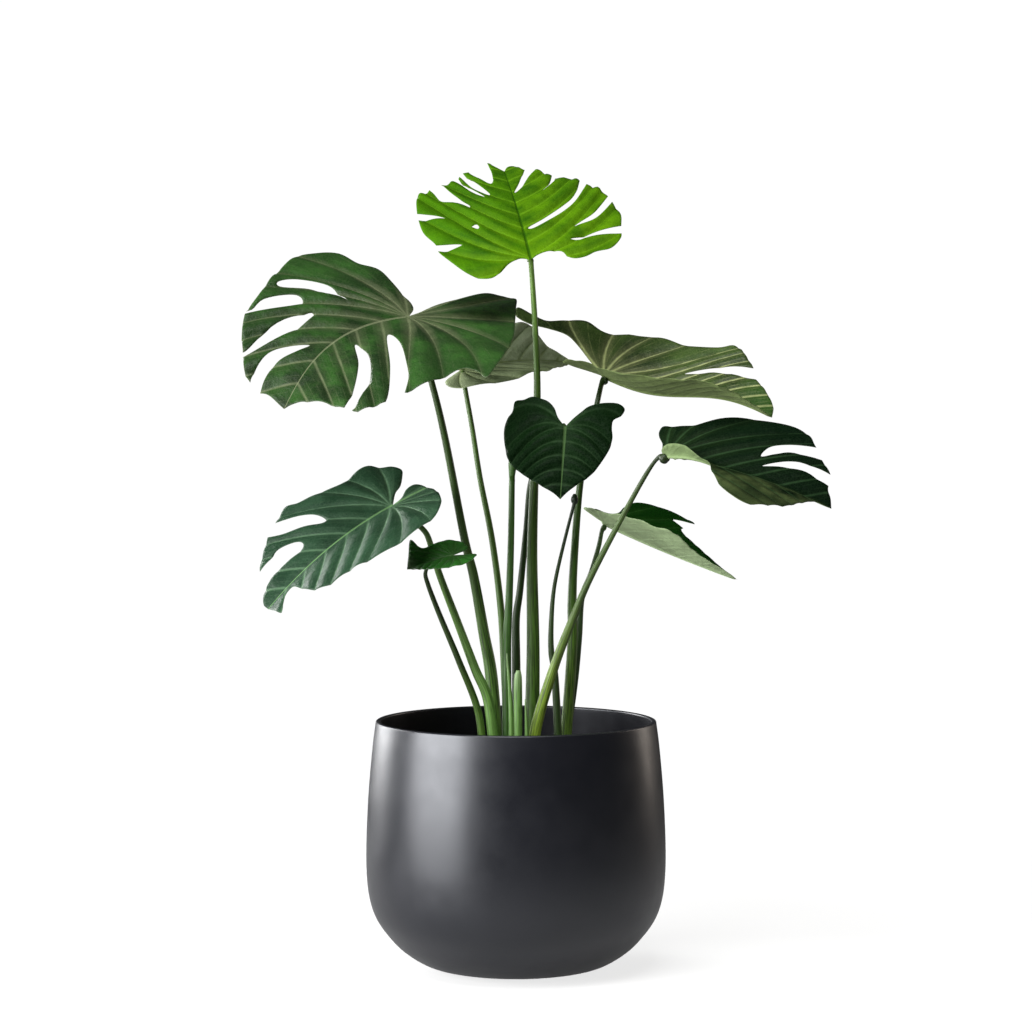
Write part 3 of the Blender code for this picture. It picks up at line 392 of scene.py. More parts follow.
class Nodes:
    """A short way to write a material's node tree."""

    def __init__(self, name):
        self.material = bpy.data.materials.new(name)
        self.material.use_nodes = True
        self.tree = self.material.node_tree
        self.shader = self.tree.nodes["Principled BSDF"]

    def add(self, kind, **settings):
        node = self.tree.nodes.new(kind)
        for key, value in settings.items():
            setattr(node, key, value)
        return node

    def link(self, value, socket):
        """Links an output, or sets a number or a colour."""
        if isinstance(value, bpy.types.NodeSocket):
            self.tree.links.new(value, socket)
        elif isinstance(value, tuple) and len(value) == 3 and socket.type == "RGBA":
            socket.default_value = (*value, 1.0)
        else:
            socket.default_value = value

    def attribute(self, name):
        return self.add("ShaderNodeAttribute", attribute_name=name).outputs["Fac"]

    def math(self, operation, first, second=0.0):
        node = self.add("ShaderNodeMath", operation=operation)
        for value, socket in zip((first, second), node.inputs):
            self.link(value, socket)
        return node.outputs[0]

    def ramp(self, value, low, high, start=0.0, end=1.0):
        """A smooth step from start to end as value goes from low to high."""
        node = self.add("ShaderNodeMapRange", interpolation_type="SMOOTHSTEP")
        names = ("Value", "From Min", "From Max", "To Min", "To Max")
        for given, name in zip((value, low, high, start, end), names):
            self.link(given, node.inputs[name])
        return node.outputs["Result"]

    def mix(self, factor, first, second):
        node = self.add("ShaderNodeMix", data_type="RGBA")
        self.link(factor, node.inputs["Factor"])
        self.link(first, node.inputs[6])
        self.link(second, node.inputs[7])
        return node.outputs[2]

    def vector(self, x, y, z):
        node = self.add("ShaderNodeCombineXYZ")
        for value, socket in zip((x, y, z), node.inputs):
            self.link(value, socket)
        return node.outputs[0]

    def noise(self, where, scale, detail=3.0, roughness=0.55):
        node = self.add("ShaderNodeTexNoise")
        self.link(where, node.inputs["Vector"])
        node.inputs["Scale"].default_value = scale
        node.inputs["Detail"].default_value = detail
        node.inputs["Roughness"].default_value = roughness
        return node.outputs["Fac"]

    def bump(self, height, strength, distance, normal=None):
        node = self.add("ShaderNodeBump")
        self.link(height, node.inputs["Height"])
        node.inputs["Strength"].default_value = strength
        node.inputs["Distance"].default_value = distance
        if normal is not None:
            self.link(normal, node.inputs["Normal"])
        return node.outputs["Normal"]

    def finish(self, colour, roughness, normal=None, **settings):
        """Sets the shader; an underscore in a setting's name stands for a space."""
        self.link(colour, self.shader.inputs["Base Color"])
        self.link(roughness, self.shader.inputs["Roughness"])
        if normal is not None:
            self.link(normal, self.shader.inputs["Normal"])
        for key, value in settings.items():
            self.shader.inputs[key.replace("_", " ")].default_value = value
        return self.material


def blade_material(name, look, upper):
    """A leaf's skin, with its midrib and veins drawn from the blade's own attributes."""
    n = Nodes(name)
    across = n.attribute("across")
    share = n.attribute("share")
    reach = n.attribute("reach")
    phase = n.attribute("phase")
    phase_rate = n.attribute("phase_rate")
    where = n.vector(across, n.attribute("along"), 0.0)

    broad = n.noise(where, 22.0, 3.0)
    patches = n.noise(where, 75.0, 4.0, 0.6)
    speckle = n.noise(where, 900.0, 2.0)
    centre = n.math("ABSOLUTE", across)
    rib_width = n.ramp(share, 0.0, 1.0, 0.0017, 0.0005)
    midrib = n.math("SUBTRACT", 1.0, n.ramp(n.math("DIVIDE", centre, rib_width), 0.45, 1.25))

    def lines(count, inner, outer, soft):
        """Lines along the side veins, in metres wide at the midrib and at the margin."""
        scaled = n.math("MULTIPLY", phase, count)
        off = n.math("ABSOLUTE", n.math("SUBTRACT", scaled, n.math("ROUND", scaled)))
        distance = n.math("DIVIDE", off, n.math("MULTIPLY", phase_rate, count))
        width = n.ramp(reach, 0.0, 1.0, inner, outer)
        return n.math("SUBTRACT", 1.0, n.ramp(n.math("DIVIDE", distance, width), 0.2, soft))

    strength = n.ramp(patches, 0.25, 0.70, 0.55, 1.0)
    strength = n.math("MULTIPLY", strength, n.ramp(reach, 0.35, 1.0, 1.0, 0.45))
    side_veins = n.math("MULTIPLY", lines(1.0, 0.0012, 0.0006, 2.0), strength)
    halo = n.math("MULTIPLY", lines(1.0, 0.0075, 0.0040, 1.5), strength)
    fine_strength = n.ramp(patches, 0.4, 0.7, 0.05, 0.28)
    fine_veins = n.math("MULTIPLY", lines(3.0, 0.0005, 0.0004, 1.5), fine_strength)
    veins = n.math("MAXIMUM", side_veins, fine_veins)

    cells = n.add("ShaderNodeTexVoronoi", feature="DISTANCE_TO_EDGE")
    n.link(where, cells.inputs["Vector"])
    cells.inputs["Scale"].default_value = 420.0
    net = n.ramp(cells.outputs["Distance"], 0.0, 0.16, 1.0, 0.0)

    if upper:
        right_side = n.ramp(across, -0.004, 0.004)
        main = n.mix(right_side, look["main"], look.get("right_main", look["main"]))
        colour = n.mix(n.ramp(broad, 0.36, 0.62), main, look["second"])
        colour = n.mix(n.ramp(patches, 0.48, 0.70, 0.0, 0.6), colour, look["second"])
        colour = n.mix(n.ramp(reach, 0.25, 1.0, 0.0, 0.45), colour, main)
        if "tip_main" in look:
            colour = n.mix(n.ramp(share, 0.70, 0.95, 0.0, 0.9), colour, look["tip_main"])
        # Painted shade: the upper side darkens towards second in wide bands along the side veins, where the
        # blade dips.
        painted_vein_shade = n.ramp(lines(1.0, 0.0150, 0.0090, 1.3), 0.0, 1.0, 0.0, 0.28)
        colour = n.mix(painted_vein_shade, colour, look["second"])
        near_stalk = n.ramp(share, 0.0, 0.75, 0.85, 0.12)
        colour = n.mix(n.math("MULTIPLY", halo, near_stalk), colour, look["tint"])
        vein_strength = look["show"]
    else:
        darker = tuple(0.66 * c for c in look["under"])
        colour = n.mix(n.ramp(broad, 0.35, 0.70), look["under"], darker)
        colour = n.mix(n.math("MULTIPLY", halo, 0.45), colour, tuple(0.60 * c for c in look["under"]))
        vein_strength = 0.45
    shade = tuple(0.6 * c for c in (look["main"] if upper else look["under"]))
    colour = n.mix(n.math("MULTIPLY", n.ramp(speckle, 0.45, 0.75), 0.30), colour, shade)
    paler = look["vein"] if upper else tuple(min(1.0, 1.2 * c + 0.03) for c in look["under"])
    rib_colour = look["midrib"] if upper else paler
    colour = n.mix(n.math("MULTIPLY", net, 0.09), colour, paler)
    colour = n.mix(n.math("MULTIPLY", veins, vein_strength), colour, paler)
    colour = n.mix(n.math("MULTIPLY", midrib, 0.75), colour, rib_colour)
    edge = n.ramp(n.attribute("margin"), 0.0, 0.0011, 0.35, 0.0)
    colour = n.mix(edge, colour, tuple(0.5 * c + 0.01 for c in paler))

    base = look["rough"] if upper else look["rough"] + 0.18
    roughness = n.ramp(n.noise(where, 120.0, 2.0), 0.2, 0.8, base - 0.06, base + 0.08)
    height = n.math("MULTIPLY", n.math("MAXIMUM", veins, midrib), -1.0 if upper else 1.4)
    height = n.math("ADD", height, n.math("MULTIPLY", net, -0.18 if upper else 0.20))
    height = n.math("ADD", height, n.math("MULTIPLY", speckle, 0.15))
    between = n.math("ABSOLUTE", n.math("SINE", n.math("MULTIPLY", phase, math.pi)))
    pillow = n.math("MULTIPLY", n.math("POWER", between, 0.8), n.ramp(reach, 0.0, 0.4, 0.0, 0.5))
    soft = n.bump(n.math("ADD", pillow, patches), 0.5, 0.0030)
    normal = n.bump(height, 0.55, 0.0004, soft)
    return n.finish(colour, roughness, normal, Specular_IOR_Level=look["gloss"])


def stalk_material(name, low, high, top):
    """A stalk's skin: pale sheathing base, streaks along it, and its own colour towards the leaf."""
    n = Nodes(name)
    rise = n.attribute("rise")
    round_x, round_y, run = (n.attribute(key) for key in ("round_x", "round_y", "run"))
    streaks = n.noise(n.vector(round_x, round_y, n.math("MULTIPLY", run, 0.06)), 5.0, 4.0, 0.6)
    flecks = n.noise(n.vector(round_x, round_y, run), 26.0, 3.0)
    colour = n.mix(n.ramp(rise, 0.05, 0.55), low, high)
    colour = n.mix(n.ramp(rise, 0.75, 1.0), colour, top)
    darker = tuple(0.28 * c for c in high)
    colour = n.mix(n.ramp(streaks, 0.44, 0.64, 0.0, 0.85), colour, darker)
    paler = tuple(min(1.0, 1.5 * c + 0.02) for c in low)
    colour = n.mix(n.ramp(flecks, 0.60, 0.78, 0.0, 0.35), colour, paler)
    roughness = n.ramp(streaks, 0.2, 0.8, 0.36, 0.52)
    normal = n.bump(streaks, 0.35, 0.0006)
    return n.finish(colour, roughness, normal, Specular_IOR_Level=0.40)


def pot_material():
    """Satin charcoal glaze with a faint mottle and a slight sheen."""
    n = Nodes("pot_satin_charcoal")
    place = n.add("ShaderNodeTexCoord").outputs["Object"]
    mottle = n.noise(place, 9.0, 4.0)
    grain = n.noise(place, 700.0, 2.0)
    colour = n.mix(n.ramp(mottle, 0.3, 0.7), (0.0030, 0.0034, 0.0062), (0.0042, 0.0046, 0.0080))
    roughness = n.ramp(n.noise(place, 34.0, 5.0), 0.25, 0.75, 0.33, 0.40)
    normal = n.bump(grain, 0.10, 0.0002)
    tint = (0.93, 0.95, 1.0, 1)
    return n.finish(colour, roughness, normal, Specular_IOR_Level=0.85, Specular_Tint=tint)


def soil_material():
    """Dark moist potting mix."""
    n = Nodes("soil_potting_mix")
    place = n.add("ShaderNodeTexCoord").outputs["Object"]
    clods = n.noise(place, 160.0, 6.0, 0.65)
    grain = n.noise(place, 900.0, 4.0, 0.7)
    colour = n.mix(n.ramp(clods, 0.35, 0.7), (0.012, 0.008, 0.005), (0.045, 0.028, 0.017))
    colour = n.mix(n.ramp(grain, 0.62, 0.75, 0.0, 0.6), colour, (0.10, 0.066, 0.038))
    normal = n.bump(grain, 0.8, 0.0012, n.bump(clods, 0.7, 0.003))
    return n.finish(colour, 0.93, normal)


def chip_material(name, dark, pale, rough):
    """Bits lying on the soil."""
    n = Nodes(name)
    place = n.add("ShaderNodeTexCoord").outputs["Object"]
    fibres = n.noise(place, 420.0, 4.0, 0.6)
    colour = n.mix(n.ramp(fibres, 0.35, 0.68), dark, pale)
    return n.finish(colour, rough, n.bump(fibres, 0.5, 0.0006))


# ---------------------------------------------------------------- shapes


def new_piece(name, points, faces, materials, node, indices=None, attributes=None):
    """One mesh piece that rides on the root body and stands for its CAD node, if it has one."""
    mesh = bpy.data.meshes.new(name)
    mesh.from_pydata(np.asarray(points, float).tolist(), [], faces)
    for material in materials:
        mesh.materials.append(material)
    if indices is not None:
        mesh.polygons.foreach_set("material_index", indices)
    for key, values in (attributes or {}).items():
        attribute = mesh.attributes.new(key, "FLOAT", "POINT")
        attribute.data.foreach_set("value", np.asarray(values, np.float32))
    mesh.shade_smooth()
    piece = bpy.data.objects.new(name, mesh)
    bpy.context.scene.collection.objects.link(piece)
    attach(piece, "root")
    if node:
        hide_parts(node)
    return piece


class BentLeaf:
    """Takes flat leaf coordinates to places in space, as in the CAD model but with the blade's relief."""

    def __init__(self, leaf, look):
        self.start = np.array(leaf["junction"], float)
        chord = np.array(leaf["tip"], float) - self.start
        self.along = unit(chord)
        self.side = unit(np.cross(self.along, leaf["face"]))
        self.up = np.cross(self.side, self.along)
        self.droop = math.radians(leaf["droop"])
        self.back_droop = math.radians(leaf["back_droop"])
        self.fold = np.radians(leaf["fold"])
        self.curl = np.radians(leaf["curl"])
        self.sway = leaf.get("sway", 0.0)
        self.roll = math.radians(leaf.get("roll", 0.0))
        half = self.droop / 2
        self.length = np.linalg.norm(chord) * half / math.sin(half)
        self.look = look
        # Shifts this leaf's waves, so that no two leaves wave alike.
        self.turn = sum(map(ord, look["slot"])) % 7 + 10 * abs(self.start[0])

    def from_midrib(self, flat):
        """How far across each point is from the midrib, which may bow to one side."""
        return flat[:, 0] - self.look["rib"] * np.sin(math.pi * np.clip(flat[:, 1], 0, 1))

    def phase(self, flat):
        """Counts the side veins: a whole number on each, and its rate of change per metre. Veins that start
        on the midrib are counted along it, and those of the lobes behind the stalk by their angle."""
        x, y = np.abs(self.from_midrib(flat)), flat[:, 1]
        count, lean, curve = self.look["veins"], self.look["lean"], self.look["curve"]
        root = y - lean * x - curve * x**2
        angle = np.arctan2(y - curve * x**2, x + 1e-9)
        fan = (angle - math.atan(lean)) / FAN_STEP
        reach = np.maximum(np.hypot(x, y), 0.02)
        rate = np.where(root >= 0, count * np.hypot(1, lean + 2 * curve * x), 1 / (FAN_STEP * reach))
        return np.where(root >= 0, root * count, fan), rate / self.length

    def relief(self, flat):
        """How far the blade rises square to itself between its veins and at its margin, and how far it
        sways up and down in broad waves, both in fractions of the midrib."""
        x, y = self.from_midrib(flat), flat[:, 1]
        far = np.clip(np.abs(x) / 0.5, 0, 1.4)
        phase, _ = self.phase(flat)
        gap = np.abs(np.sin(math.pi * phase)) ** 0.8
        fade = np.clip(np.hypot(x, y) / 0.30, 0, 1) * np.clip(far / 0.30, 0, 1)
        puff = self.look["puff"] * (gap - 0.6) * fade
        sign = np.where(x < 0, 1.0, -1.0)
        waves = np.sin(2 * math.pi * (0.43 * phase + 0.21 * sign) + self.turn)
        wave = 0.4 * self.look["wave"] * far**1.5 * waves * np.clip(np.abs(x) / 0.1, 0, 1)
        off_crease = np.clip(np.abs(flat[:, 0]) / 0.08, 0, 1)
        broad = 0.2 * self.look["wave"] * np.sin(5.1 * x + 3.7 * y + self.turn)
        return (puff + wave) * off_crease / self.length, broad / self.length

    def place(self, flat):
        """The place in space of each (x, y) of the flat leaf."""
        x, y = flat.T
        half = self.droop / 2
        bend = np.where(y >= 0, self.droop, self.back_droop) + 1e-6
        angle = half - bend * y
        run = (np.sin(half) - np.sin(angle)) / bend
        rise = (np.cos(angle) - np.cos(half)) / bend
        rise = rise + self.sway * np.sin(2 * math.pi * np.clip(y, 0, 1))
        near_stalk = 1 - np.clip((y - ROLL_START) / ROLL_LENGTH, 0, 1)
        fold = np.where(x < 0, self.fold[0], self.fold[1] + self.roll * near_stalk)
        curl = np.where(x < 0, *self.curl) + 1e-6
        tilt = fold + curl * np.abs(x)
        out = np.sign(x) * (np.sin(tilt) - np.sin(fold)) / curl
        lift = (np.cos(fold) - np.cos(tilt)) / curl
        raised, swayed = self.relief(flat)
        out = out - np.sign(x) * np.sin(tilt) * raised
        lift = lift + np.cos(tilt) * raised + swayed
        forward = run - lift * np.sin(angle)
        upward = rise + lift * np.cos(angle)
        moved = np.outer(out, self.side) + np.outer(forward, self.along) + np.outer(upward, self.up)
        return self.start + self.length * moved

    def normals(self, flat):
        """The way that the upper side faces at each (x, y)."""
        step = 2e-3
        across = self.place(flat + (step, 0)) - self.place(flat - (step, 0))
        onward = self.place(flat + (0, step)) - self.place(flat - (0, step))
        crossed = np.cross(across, onward)
        return crossed / np.linalg.norm(crossed, axis=1)[:, None]


def leaf_outline(leaf):
    """The whole margin of the flat leaf, anticlockwise from the stalk."""
    start, tip = (0, -0.02), (0, 1)
    right = smooth_line([start] + leaf["right"] + [tip], OUTLINE_STEPS)
    left = smooth_line([start] + [(-x, y) for x, y in leaf["left"]] + [tip], OUTLINE_STEPS)
    return np.vstack([right, left[-2:0:-1]])


def cut_outline(cut):
    """The edge of a slit or a hole, as a closed loop."""
    return smooth_line(cut + cut[:1], CUT_STEPS)[:-1]


def inside(points, loop):
    """Whether each point is inside the closed loop."""
    x, y = points[:, :1], points[:, 1:]
    x0, y0 = loop.T
    x1, y1 = np.roll(loop, -1, axis=0).T
    spans = (y0 > y) != (y1 > y)
    rise = np.where(np.abs(y1 - y0) < 1e-12, 1e-12, y1 - y0)
    crosses = spans & (x < (x1 - x0) * (y - y0) / rise + x0)
    return crosses.sum(axis=1) % 2 == 1


def distance_to(points, loops):
    """How far each point is from the nearest edge of the loops."""
    best = np.full(len(points), 1e9)
    for loop in loops:
        after = np.roll(loop, -1, axis=0)
        way = after - loop
        size = np.maximum((way**2).sum(axis=1), 1e-12)
        t = np.clip(((points[:, None] - loop[None]) * way[None]).sum(axis=2) / size, 0, 1)
        near = loop[None] + t[..., None] * way[None]
        best = np.minimum(best, np.linalg.norm(points[:, None] - near, axis=2).min(axis=1))
    return best


def flat_blade(leaf, bent, spacing):
    """The flat leaf as points and triangles, with its slits and holes cut out."""
    length = bent.length
    outline = leaf_outline(leaf)
    cuts = [cut_outline(cut) for cut in leaf["cuts"]]
    loops = [outline] + cuts
    low, high = outline.min(axis=0), outline.max(axis=0)
    columns = np.arange(low[0], high[0], spacing)
    rows = np.arange(low[1], high[1], spacing * ROW_SHARE)
    grid = np.array([(x + (k % 2) * spacing / 2, y) for k, y in enumerate(rows) for x in columns])
    ribs = [0.0] + [side * width / length for width in MIDRIB_ROWS for side in (-1, 1)]
    steps = np.arange(0.0, 0.985, spacing * 0.8)
    rib_points = np.array([(x * (1.02 - y), y) for x in ribs for y in steps])
    straight = np.column_stack([np.zeros(len(rib_points)), rib_points[:, 1]])
    rib_points[:, 0] -= bent.from_midrib(straight)
    keep_off = (MIDRIB_ROWS[-1] / length) + spacing * 0.35
    grid = grid[(np.abs(bent.from_midrib(grid)) > keep_off) | (grid[:, 1] < -spacing)]
    grid = grid[inside(grid, outline)]
    grid = grid[distance_to(grid, loops) > spacing * EDGE_CLEARANCE]
    rib_points = rib_points[inside(rib_points, outline)]
    rib_points = rib_points[distance_to(rib_points, loops) > RIB_CLEARANCE / length]
    corners = np.vstack(loops + [grid, rib_points])
    edges = []
    start = 0
    for loop in loops:
        count = len(loop)
        edges += [(start + k, start + (k + 1) % count) for k in range(count)]
        start += count
    found = delaunay_2d_cdt([Vector(c) for c in corners], edges, [], 0, 1e-6)
    points = np.array([tuple(v) for v in found[0]])
    faces = np.array(found[2])
    centres = points[faces].mean(axis=1)
    keep = inside(centres, outline)
    for cut in cuts:
        keep &= ~inside(centres, cut)
    faces = faces[keep]
    used, index = np.unique(faces, return_inverse=True)
    return points[used], index.reshape(-1, 3), loops


def make_blade(name, leaf, look):
    """A thin closed blade with a raised rib below and the attributes that its veins are drawn from."""
    bent = BentLeaf(leaf, look)
    spacing = FINE_SPACING / bent.length
    flat, faces, loops = flat_blade(leaf, bent, spacing)
    centres, normals = bent.place(flat), bent.normals(flat)
    margin = distance_to(flat, loops) * bent.length
    x = bent.from_midrib(flat) * bent.length
    share = np.clip(flat[:, 1], 0, 1)
    off_edge = np.clip(margin / RIB_MARGIN, 0, 1)
    thick = BLADE_THICKNESS * (THIN_SHARE + (1 - THIN_SHARE) * np.clip(margin / MARGIN_TAPER, 0, 1))
    rib = (RIB_AT_STALK - RIB_THINNING * share) * (bent.length / RIB_LEAF_LENGTH) ** 0.5
    below = np.where(flat[:, 1] > -0.02, rib * np.exp(-((x / (0.75 * rib)) ** 2)), 0)
    below = below * off_edge
    groove = GROOVE_DEPTH * np.exp(-((x / GROOVE_WIDTH) ** 2)) * off_edge
    upper_points = centres + normals * (thick / 2 - groove)[:, None]
    lower_points = centres - normals * (thick / 2 + below)[:, None]
    count = len(flat)
    upper = faces.tolist()
    lower = (faces[:, ::-1] + count).tolist()
    pairs = {(face[k], face[(k + 1) % 3]) for face in upper for k in range(3)}
    rim = [(b, a, a + count, b + count) for a, b in sorted(pairs) if (b, a) not in pairs]
    phase, rate = bent.phase(flat)
    twice = {
        "across": x,
        "along": flat[:, 1] * bent.length,
        "share": share,
        "reach": np.clip(np.abs(x) / bent.length / 0.5, 0, 1),
        "phase": phase,
        "phase_rate": rate,
        "margin": margin,
    }
    attributes = {key: np.concatenate([values, values]) for key, values in twice.items()}
    indices = [0] * len(upper) + [1] * (len(lower) + len(rim))
    skins = [blade_material(name + "_upper", look, True), blade_material(name + "_under", look, False)]
    points = np.vstack([upper_points, lower_points])
    faces = upper + lower + rim
    new_piece(name + "_blade", points, faces, skins, name, indices, attributes)


def make_stalk(name, middles, radii, material, groove=0.10):
    """A fine tube along the middles, slightly grooved on one side, with its ends closed."""
    rows = smooth_line([(*m, r) for m, r in zip(middles, radii)], STALK_STEPS)
    centres, sizes = rows[:, :3], np.maximum(rows[:, 3], 0.0003)
    ways = np.gradient(centres, axis=0)
    runs = np.concatenate([[0], np.cumsum(np.linalg.norm(np.diff(centres, axis=0), axis=1))])
    side = Vector((1, 0, 0))
    points, round_x, round_y, run, rise = [], [], [], [], []
    for ring, (centre, size, way) in enumerate(zip(centres, sizes, ways)):
        forward = Vector(way).normalized()
        side = (side - forward * side.dot(forward)).normalized()
        across = forward.cross(side)
        for k in range(STALK_SIDES):
            angle = 2 * math.pi * k / STALK_SIDES
            dent = 1 - groove * max(0.0, math.cos(angle - 1.9)) ** 4
            ripple = 1 + 0.012 * math.sin(5 * angle + 40 * runs[ring])
            offset = side * math.cos(angle) + across * math.sin(angle)
            points.append(Vector(centre) + offset * float(size * dent * ripple))
            round_x.append(math.cos(angle))
            round_y.append(math.sin(angle))
            run.append(runs[ring] * 100)
            rise.append(runs[ring] / runs[-1])
    rings = len(centres)
    faces = []
    for ring in range(rings - 1):
        low = ring * STALK_SIDES
        high = low + STALK_SIDES
        for k in range(STALK_SIDES):
            after = (k + 1) % STALK_SIDES
            faces.append((low + k, low + after, high + after, high + k))
    faces.append(tuple(range(STALK_SIDES))[::-1])
    faces.append(tuple(range((rings - 1) * STALK_SIDES, rings * STALK_SIDES)))
    attributes = {"round_x": round_x, "round_y": round_y, "run": run, "rise": rise}
    new_piece(name + "_skin", points, faces, [material], name, attributes=attributes)


def lathe(name, profile, segments, material, node):
    """A solid turned round Z from (radius, height) pairs, from the axis, round the outside, to the axis."""
    angles = [2 * math.pi * k / segments for k in range(segments)]
    points = [(0, 0, profile[0][1])]
    for radius, height in profile[1:-1]:
        points += [(radius * math.cos(a), radius * math.sin(a), height) for a in angles]
    points.append((0, 0, profile[-1][1]))
    rings = len(profile) - 2
    last = len(points) - 1
    faces = []
    for k in range(segments):
        after = (k + 1) % segments
        faces.append((0, 1 + after, 1 + k))
        for ring in range(rings - 1):
            low = 1 + ring * segments
            high = low + segments
            faces.append((low + k, low + after, high + after, high + k))
        top = 1 + (rings - 1) * segments
        faces.append((top + k, top + after, last))
    piece = new_piece(name, points, faces, [material], node)
    piece.data.set_sharp_from_angle(angle=math.radians(50))


def pot_wall():
    """The outside curve, and the inside curve one wall thickness in from it."""
    outside = smooth_line(POT_PROFILE, POT_STEPS)
    ways = np.gradient(outside, axis=0)
    ways /= np.linalg.norm(ways, axis=1)[:, None]
    inward = np.column_stack([-ways[:, 1], ways[:, 0]])
    return outside, outside + inward * POT_WALL


def make_pot():
    """The pot's wall, with a rounded rim and a flat foot and floor."""
    outside, inner = pot_wall()
    half = POT_WALL / 2
    middle = outside[-1][0] - half
    rise = half * RIM_SQUASH
    rim_start = POT_HEIGHT - rise
    arc = [(middle + half * math.cos(a), rim_start + rise * math.sin(a))
           for a in np.linspace(0, math.pi, RIM_STEPS * 2 + 1)]
    outside = [tuple(p) for p in outside if p[1] < rim_start - RIM_GAP]
    inside_wall = [tuple(p) for p in inner[::-1] if POT_FLOOR + 0.004 < p[1] < rim_start - RIM_GAP]
    foot = [(FOOT_RADIUS * 0.97, 0.0)]
    floor = [(inside_wall[-1][0] * 0.93, POT_FLOOR + 0.0008), (inside_wall[-1][0] * 0.85, POT_FLOOR)]
    profile = [(0, 0.0)] + foot + outside + arc + inside_wall + floor + [(0, POT_FLOOR)]
    lathe("pot_satin", profile, POT_SEGMENTS, pot_material(), "pot")


def make_soil():
    """The soil's lumpy top, closed by a plain underside that the pot hides. It gives the soil's radius."""
    radii, heights = zip(*POT_PROFILE)
    radius = float(np.interp(SOIL_TOP, heights, radii)) - POT_WALL - SOIL_GAP
    points = [(0.0, 0.0, SOIL_TOP)]
    for ring in range(1, SOIL_RINGS + 1):
        share = ring / SOIL_RINGS
        for k in range(SOIL_SEGMENTS):
            angle = 2 * math.pi * k / SOIL_SEGMENTS
            x, y = radius * share * math.cos(angle), radius * share * math.sin(angle)
            spot = Vector((x, y, 0.0))
            lump = sum(height * noise.noise(spot * rate) for height, rate in LUMPS)
            calm = min(1.0, (1 - share) * 12 + 0.25)
            points.append((x, y, SOIL_TOP - SOIL_SETTLE * share**3 + lump * calm))
    low_radius, low_height = radius * 0.99, SOIL_TOP - SOIL_DEPTH
    rim_start = len(points)
    for k in range(SOIL_SEGMENTS):
        angle = 2 * math.pi * k / SOIL_SEGMENTS
        points.append((low_radius * math.cos(angle), low_radius * math.sin(angle), low_height))
    points.append((0.0, 0.0, low_height))
    faces = []
    for k in range(SOIL_SEGMENTS):
        after = (k + 1) % SOIL_SEGMENTS
        faces.append((0, 1 + k, 1 + after))
        for ring in range(SOIL_RINGS - 1):
            low = 1 + ring * SOIL_SEGMENTS
            high = low + SOIL_SEGMENTS
            faces.append((low + k, high + k, high + after, low + after))
        edge = 1 + (SOIL_RINGS - 1) * SOIL_SEGMENTS
        faces.append((edge + k, rim_start + k, rim_start + after, edge + after))
        faces.append((rim_start + k, len(points) - 1, rim_start + after))
    new_piece("soil_surface", points, faces, [soil_material()], "soil")
    return radius


def make_bits(name, count, size, flat, material, radius, seed):
    """Small lumps scattered on the soil, each a squashed and dented ball."""
    draw = random.Random(seed)
    points, faces = [], []
    for _ in range(count):
        reach = radius * 0.96 * math.sqrt(draw.random())
        angle = 2 * math.pi * draw.random()
        height = SOIL_TOP - SOIL_SETTLE / 2 * (reach / radius) ** 3
        centre = Vector((reach * math.cos(angle), reach * math.sin(angle), height))
        scale = size * (0.5 + draw.random())
        long, turn = 1 + 0.9 * draw.random(), math.pi * draw.random()
        start = len(points)
        for band in range(1, BIT_BANDS):
            tilt = math.pi * band / BIT_BANDS
            for k in range(BIT_SIDES):
                spin = 2 * math.pi * k / BIT_SIDES
                bulge = 0.8 + 0.4 * draw.random()
                x = scale * long * bulge * math.sin(tilt) * math.cos(spin)
                y = scale * bulge * math.sin(tilt) * math.sin(spin)
                z = scale * flat * math.cos(tilt)
                points.append(centre + Vector((x * math.cos(turn) - y * math.sin(turn),
                                               x * math.sin(turn) + y * math.cos(turn), z)))
        points.append(centre + Vector((0, 0, scale * flat)))
        points.append(centre - Vector((0, 0, scale * flat)))
        top, bottom = len(points) - 2, len(points) - 1
        for k in range(BIT_SIDES):
            after = (k + 1) % BIT_SIDES
            faces.append((top, start + k, start + after))
            for band in range(BIT_BANDS - 2):
                low = start + band * BIT_SIDES
                high = low + BIT_SIDES
                faces.append((low + k, high + k, high + after, low + after))
            last = start + (BIT_BANDS - 2) * BIT_SIDES
            faces.append((last + k, bottom, last + after))
    new_piece(name, points, faces, [material], None)


def stalk_radii(count, low, high):
    """A stalk thins quickly above its sheathing base, then slowly."""
    share = np.linspace(0, 1, count)
    return high + (low - high) * (1 - share) ** 1.6


# Stalk colours: at the soil, along most of it, and just under the leaf.
STALK_LOOKS = {
    "petiole_top": ((0.059, 0.135, 0.016), (0.050, 0.108, 0.013), (0.142, 0.270, 0.043)),
    "petiole_upper_left": ((0.109, 0.225, 0.043), (0.035, 0.076, 0.011), (0.059, 0.117, 0.021)),
    "petiole_upper_right": ((0.117, 0.216, 0.029), (0.042, 0.108, 0.010), (0.017, 0.040, 0.006)),
    "petiole_back": ((0.042, 0.108, 0.016), (0.067, 0.144, 0.019), (0.071, 0.135, 0.025)),
    "petiole_heart": ((0.015, 0.040, 0.007), (0.018, 0.043, 0.007), (0.033, 0.072, 0.013)),
    "petiole_right": ((0.259, 0.405, 0.036), (0.071, 0.126, 0.029), (0.008, 0.020, 0.004)),
    "petiole_lower_right": ((0.075, 0.162, 0.036), (0.050, 0.103, 0.029), (0.075, 0.135, 0.043)),
    "petiole_lower_left": ((0.117, 0.252, 0.050), (0.134, 0.270, 0.057), (0.084, 0.171, 0.039)),
    "petiole_small": ((0.100, 0.207, 0.029), (0.030, 0.063, 0.011), (0.038, 0.081, 0.014)),
    "petiole_furled": ((0.033, 0.099, 0.011), (0.046, 0.121, 0.020), (0.054, 0.135, 0.025)),
}
FURLED_GREENS = (STALK_LOOKS["petiole_furled"][2], (0.060, 0.150, 0.030), (0.090, 0.240, 0.030))
